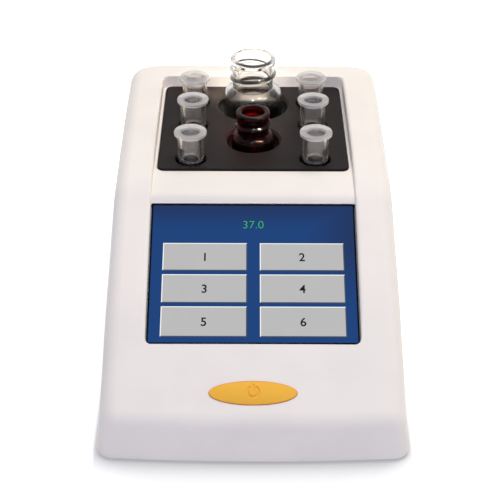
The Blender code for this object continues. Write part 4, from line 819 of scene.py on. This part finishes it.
class ANALYZER_OT_button(bpy.types.Operator):
    """Oval power button with its engraved mark"""
    bl_idname = "analyzer.button"
    bl_label = "Power button"

    SLOPE = 33.0
    # The oval's half axes, how far it stands out of the case, and its rounded edge.
    HALF_WIDTH, HALF_LENGTH, PROUD, EDGE = 0.01484, 0.00419, 0.0012, 0.0006
    # The flange under the case: how far it reaches, and the heights of its top and its underside.
    FLANGE_REACH, FLANGE, UNDER = 0.0015, -0.0028, -0.0040
    POST_RADIUS, POST_LENGTH = 0.002, 0.002
    # Painted shade: the deeper orange given to the button's side, standing for the shade on it.
    SIDE_COLOUR = linear(214, 108, 30)

    def execute(self, context):
        """Ellipses (a cos t, b sin t) up the post, the flange and the side, and then inward over
        the dome, whose height falls with the square of the share of the way out."""
        sizes, colours = context.scene.analyzer_sizes, context.scene.analyzer_colours
        place = slope_frame("power_button", self.SLOPE, self.PROUD)
        half_width, half_length, edge = self.HALF_WIDTH, self.HALF_LENGTH, self.EDGE
        inward = edge * 0.6
        share = np.concatenate([np.linspace(1, 0.93, 8)[:-1], np.linspace(0.93, 0.02, 110)])[:, None]
        angle = np.linspace(0, 2 * pi, BUTTON_STEPS, endpoint=False)[None, :]
        across = (half_width - inward) * share * np.cos(angle)
        up = (half_length - inward) * share * np.sin(angle)
        dome = self.PROUD - sizes.button_dome * share ** 2 - self.mark(across, up, sizes) * sizes.mark_depth
        top = np.stack([across, up, dome], -1)
        wide, long, post = half_width + self.FLANGE_REACH, half_length + self.FLANGE_REACH, self.POST_RADIUS
        rims = [(post, post, self.UNDER - self.POST_LENGTH), (post, post, self.UNDER),
                (wide, long, self.UNDER), (wide, long, self.FLANGE),
                (half_width, half_length, self.FLANGE)]
        shoulder = self.PROUD - sizes.button_dome - edge
        rims += [(half_width - inward * (1 - cos(t)), half_length - inward * (1 - cos(t)),
                  shoulder + edge * sin(t)) for t in np.linspace(0, pi / 2, 7)[:-1]]
        skirt = np.stack([np.stack([a * np.cos(angle[0]), b * np.sin(angle[0]),
                                    np.full(BUTTON_STEPS, z)], -1) for a, b, z in rims])
        cap = put(closed_rings("button_cap", np.concatenate([skirt, top])), place)
        cap.data.set_sharp_from_angle(angle=radians(50))
        finished(cap, self.amber(place, colours.button), "button", "power_button", slot="button_amber")
        return {"FINISHED"}

    def mark(self, x, y, sizes):
        """Depth share of the power mark: 1 along the open ring and the bar, and 0 away from them.

        The ring is where the distance from the middle is near the radius, but for a gap about the
        top. The share falls smoothly, as t^2 (3 - 2t), with the distance from the line."""
        radius, lifted = sizes.mark_radius, 0.0002
        y = y - lifted
        ring = np.abs(np.hypot(x, y) - radius)
        gap = (np.abs(x) < radius * 0.50) & (y > 0)
        ring = np.where(gap, radius, ring)
        bar = np.hypot(x, y - np.clip(y, radius * 0.10, radius * 1.32))
        near = np.minimum(ring, bar) / (sizes.mark_width / 2)
        t = np.clip(1.6 - near, 0, 1)
        return t * t * (3 - 2 * t)

    def amber(self, place, colour):
        """Amber plastic with moulding grain, painted a deeper orange down its side as painted shade of that
        side.
        """
        paint = Paint("button_plastic")
        # Painted shade on the button's side, close to the case.
        side = paint.within(place)[2].step(0.00015, 0.00045, 1, 0)
        grit = paint.noise(2400, 3)
        flow = paint.noise(130, 3)
        base = paint.mix(flow.step(0.3, 0.7) * 0.5, colour, tuple(v * 0.96 for v in colour))
        base = paint.mix(side, base, self.SIDE_COLOUR)
        return paint.covered(Base_Color=base, Roughness=flow.step(0.3, 0.7, 0.34, 0.42),
                             Normal=paint.bump(grit, 0.000015, 0.5), Specular_IOR_Level=0.10)


class ANALYZER_OT_feet(bpy.types.Operator):
    """Rubber feet, with a rounded edge and a ring groove underneath"""
    bl_idname = "analyzer.feet"
    bl_label = "Feet"

    def execute(self, context):
        radius, height, _ = round_size("foot_1")
        edge = height * 0.2
        profile = rounded([(0, edge * 0.5), (radius * 0.55, edge * 0.5), (radius * 0.60, 0), (radius, 0),
                           (radius, height), (0, height)],
                          [edge * 0.5, edge * 0.5, edge, edge * 0.3])
        rubber = soft_rubber("foot_rubber", (0.022, 0.021, 0.021))
        for name in FEET:
            foot = turned(name + "_pad", profile[1:-1], FOOT_STEPS, middle(name))
            finished(foot, rubber, "case", name, slot="foot_rubber")
        return {"FINISHED"}


class ANALYZER_OT_inner(bpy.types.Operator):
    """Finishes of the screws, the heating block and everything else inside the case"""
    bl_idname = "analyzer.inner"
    bl_label = "Inner pieces"

    # The plastics' material, colour, roughness and nodes, and the boards' node and colour.
    PLASTICS = (
        ("heater_foil_film", linear(190, 96, 30), 0.30, "heater_foil"),
        ("carrier_plastic", (0.72, 0.72, 0.70), 0.45, "block_carrier"),
        ("emitter_plastic", (0.02, 0.02, 0.022), 0.35, "emitter_left", "emitter_right"),
        ("photodiode_plastic", (0.03, 0.02, 0.03), 0.30, "photodiode_left", "photodiode_right"),
        ("ribbon_film", (0.72, 0.72, 0.70), 0.40, "display_ribbon"),
        ("switch_plastic", (0.025, 0.025, 0.025), 0.40, "button_switch"),
        ("chip_plastic", (0.020, 0.020, 0.022), 0.50, "processor"),
        ("buzzer_plastic", (0.022, 0.022, 0.024), 0.42, "buzzer"),
    )
    BOARDS = (("display_board", (0.010, 0.090, 0.030)), ("button_board", (0.010, 0.090, 0.030)),
              ("main_board", (0.008, 0.080, 0.028)))

    def execute(self, context):
        screws = [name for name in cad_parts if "screw" in name]
        repaint(brushed_metal("screw_steel", (0.56, 0.56, 0.57), 0.30, (30, 30, 1)), *screws)
        repaint(brushed_metal("probe_steel", (0.60, 0.60, 0.60), 0.25), "temperature_probe")
        repaint(brushed_metal("module_steel", (0.60, 0.60, 0.60), 0.36), "lcd_module")
        repaint(coated_metal("block_anodised", (0.012, 0.012, 0.013), 0.42), "heating_block")
        repaint(soft_rubber("insulation_foam", (0.12, 0.12, 0.125)), "insulation_pad")
        for name, colour, roughness, *nodes in self.PLASTICS:
            repaint(moulded_plastic(name, colour, roughness), *nodes)
        for node, colour in self.BOARDS:
            repaint(circuit_board(node + "_mask", colour), node)
        return {"FINISHED"}


class ANALYZER_OT_stage(bpy.types.Operator):
    """Pale floor, soft lamps, white surround and the camera"""
    bl_idname = "analyzer.stage"
    bl_label = "Stage"

    LAMP_TARGET = (0, 0, 0.04)
    # The lamps that only glass mirrors: name, colour, power, sides and place.
    MIRRORED = (
        ("warm_strip_near", (1.0, 0.90, 0.72), 50.0, (0.20, 0.05), (0.30, -0.24, 0.82)),
        ("warm_strip_far", (1.0, 0.90, 0.72), 36.0, (0.10, 0.05), (0.52, -0.20, 0.72)),
        ("cool_lamp", (0.60, 0.72, 1.0), 30.0, (0.07, 0.07), (-0.02, -0.56, 0.84)),
    )
    # Just outside the case's sides and front, where its shadow starts.
    CASE_SIDE, CASE_FRONT = 0.053, 0.0895
    # The camera's place, the point over the screen that it is aimed at, its roll in degrees,
    # and its focal length and its sensor's width in millimetres.
    EYE, AIM = (-0.00222, -0.41497, 0.30002), (-0.001156, -0.051745, 0.061)
    ROLL, LENS, SENSOR = 0.271, 94.04, 36

    def seen(self, paint):
        """1 for rays that show the background: from the camera, in reflections and through glass."""
        camera, gloss, through = (paint.node("ShaderNodeLightPath", output=f"Is {kind} Ray")
                                  for kind in ("Camera", "Glossy", "Transmission"))
        return camera.larger(gloss).larger(through)

    def lamp(self, name, colour, power, sides, origin, mirrored_by=None):
        """Rectangular lamp that lights without showing in gloss, or one that shows only in the
        gloss of the pieces in a collection."""
        light = bpy.data.lights.new(name, "AREA")
        light.shape = "RECTANGLE"
        light.size, light.size_y = sides
        light.energy = power
        light.color = colour
        item = bpy.data.objects.new(name, light)
        item.matrix_world = aimed(origin, self.LAMP_TARGET)
        item.visible_glossy = mirrored_by is not None
        item.visible_diffuse = mirrored_by is None
        item.visible_transmission = False
        item.light_linking.receiver_collection = mirrored_by
        bpy.context.scene.collection.objects.link(item)

    def floor_finish(self):
        """Matt white with a painted contact shadow: where it is seen, its colour is darkened close to
        the object by the square of its ambient occlusion, and a glow that lights nothing else brings
        it up to white away from the object, held low beside and in front of the case."""
        paint = Paint("floor_white")
        fibre = paint.noise(500, 3)
        seen = self.seen(paint)
        open_sky = paint.node("ShaderNodeAmbientOcclusion", {"samples": 16}, {"Distance": 0.028}, 1)
        # Painted contact shadow: for rays that show the floor, its colour is darkened by the square of the
        # occlusion, 1 away from the case and less close to it.
        painted_shadow_level = 1 - seen * (1 - open_sky * open_sky)
        white = paint.shaded(fibre, (0.84, 0.84, 0.84), 0.01)
        matt = paint.skin(Base_Color=paint.mix(painted_shadow_level, (0, 0, 0), white), Roughness=0.9,
                          Specular_IOR_Level=0.0)
        x, y, _ = paint.axes(paint.place())
        # The glow is held low just beside the case and for some way in front of it, so that the painted and
        # the cast shadow show there.
        beside = (x.size() - self.CASE_SIDE).step(0, 0.0022, 0.42, 0.92)
        before = (y.size() - self.CASE_FRONT).step(0.007, 0.0210, 0.0, 0.72)
        strength = seen * beside.larger(before)
        glow = paint.node("ShaderNodeEmission", values={"Color": (1, 1, 1), "Strength": strength})
        return paint.done(paint.node("ShaderNodeAddShader", values={0: matt, 1: glow}))

    def execute(self, context):
        scene = context.scene
        sizes, colours, levels = scene.analyzer_sizes, scene.analyzer_colours, scene.analyzer_stage
        half = sizes.floor_side / 2
        corners = [(-half, -half, 0), (half, -half, 0), (half, half, 0), (-half, half, 0)]
        floor = new_mesh("floor", corners, [[0, 1, 2, 3]])
        floor.data.materials.append(self.floor_finish())
        world = bpy.data.worlds.new("surround")
        world.use_nodes = True
        scene.world = world
        sky = Paint("surround", world.node_tree)
        values = {"Color": colours.surround, "Strength": levels.surround_level}
        around = sky.node("ShaderNodeBackground", values=values)
        white = sky.node("ShaderNodeBackground", values={"Color": (1, 1, 1), "Strength": 1.0})
        sky.done(sky.blend(self.seen(sky), around, white), "ShaderNodeOutputWorld")
        glassware = bpy.data.collections.new("glassware")
        for name in ("clear_bottle_glass", "amber_vial_glass"):
            glassware.objects.link(bpy.data.objects[name])
        self.lamp("key_lamp", colours.key_light, levels.key_power, (0.50, 0.50), (0.25, 0.19, 0.95))
        self.lamp("fill_lamp", colours.fill_light, levels.fill_power, (0.30, 0.30), (-0.02, -0.64, 0.76))
        for lamp in self.MIRRORED:
            self.lamp(*lamp, mirrored_by=glassware)
        view = bpy.data.cameras.new("camera")
        view.sensor_width = self.SENSOR
        view.lens = self.LENS
        view.clip_start = 0.01
        item = bpy.data.objects.new("camera", view)
        item.matrix_world = aimed(self.EYE, self.AIM) @ Matrix.Rotation(radians(self.ROLL), 4, "Z")
        scene.collection.objects.link(item)
        scene.camera = item
        scene.view_settings.view_transform = "Standard"
        return {"FINISHED"}


class ANALYZER_PT_sidebar(bpy.types.Panel):
    """Lists the steps and all their settings"""
    bl_idname = "ANALYZER_PT_sidebar"
    bl_label = "Analyzer"
    bl_space_type = "VIEW_3D"
    bl_region_type = "UI"
    bl_category = "Analyzer"

    def draw(self, context):
        for step in STEPS:
            self.layout.operator(step.bl_idname)
        for group, kind in GROUPS.items():
            box = self.layout.box()
            for name in kind.__annotations__:
                box.prop(getattr(context.scene, group), name)


GROUPS = {"analyzer_sizes": AnalyzerSizes, "analyzer_colours": AnalyzerColours,
          "analyzer_stage": AnalyzerStage}
STEPS = (ANALYZER_OT_case, ANALYZER_OT_plate, ANALYZER_OT_cuvettes, ANALYZER_OT_bottles,
         ANALYZER_OT_screen, ANALYZER_OT_button, ANALYZER_OT_feet, ANALYZER_OT_inner, ANALYZER_OT_stage)
CLASSES = (*GROUPS.values(), *STEPS, ANALYZER_PT_sidebar)


def register():
    for kind in CLASSES:
        bpy.utils.register_class(kind)
    for name, group in GROUPS.items():
        setattr(bpy.types.Scene, name, PointerProperty(type=group))


def unregister():
    for name in GROUPS:
        delattr(bpy.types.Scene, name)
    for kind in reversed(CLASSES):
        bpy.utils.unregister_class(kind)


def main():
    """Runs every step in order."""
    register()
    for step in STEPS:
        getattr(bpy.ops.analyzer, step.bl_idname.split(".")[1])()


if __name__ == "__main__":
    main()
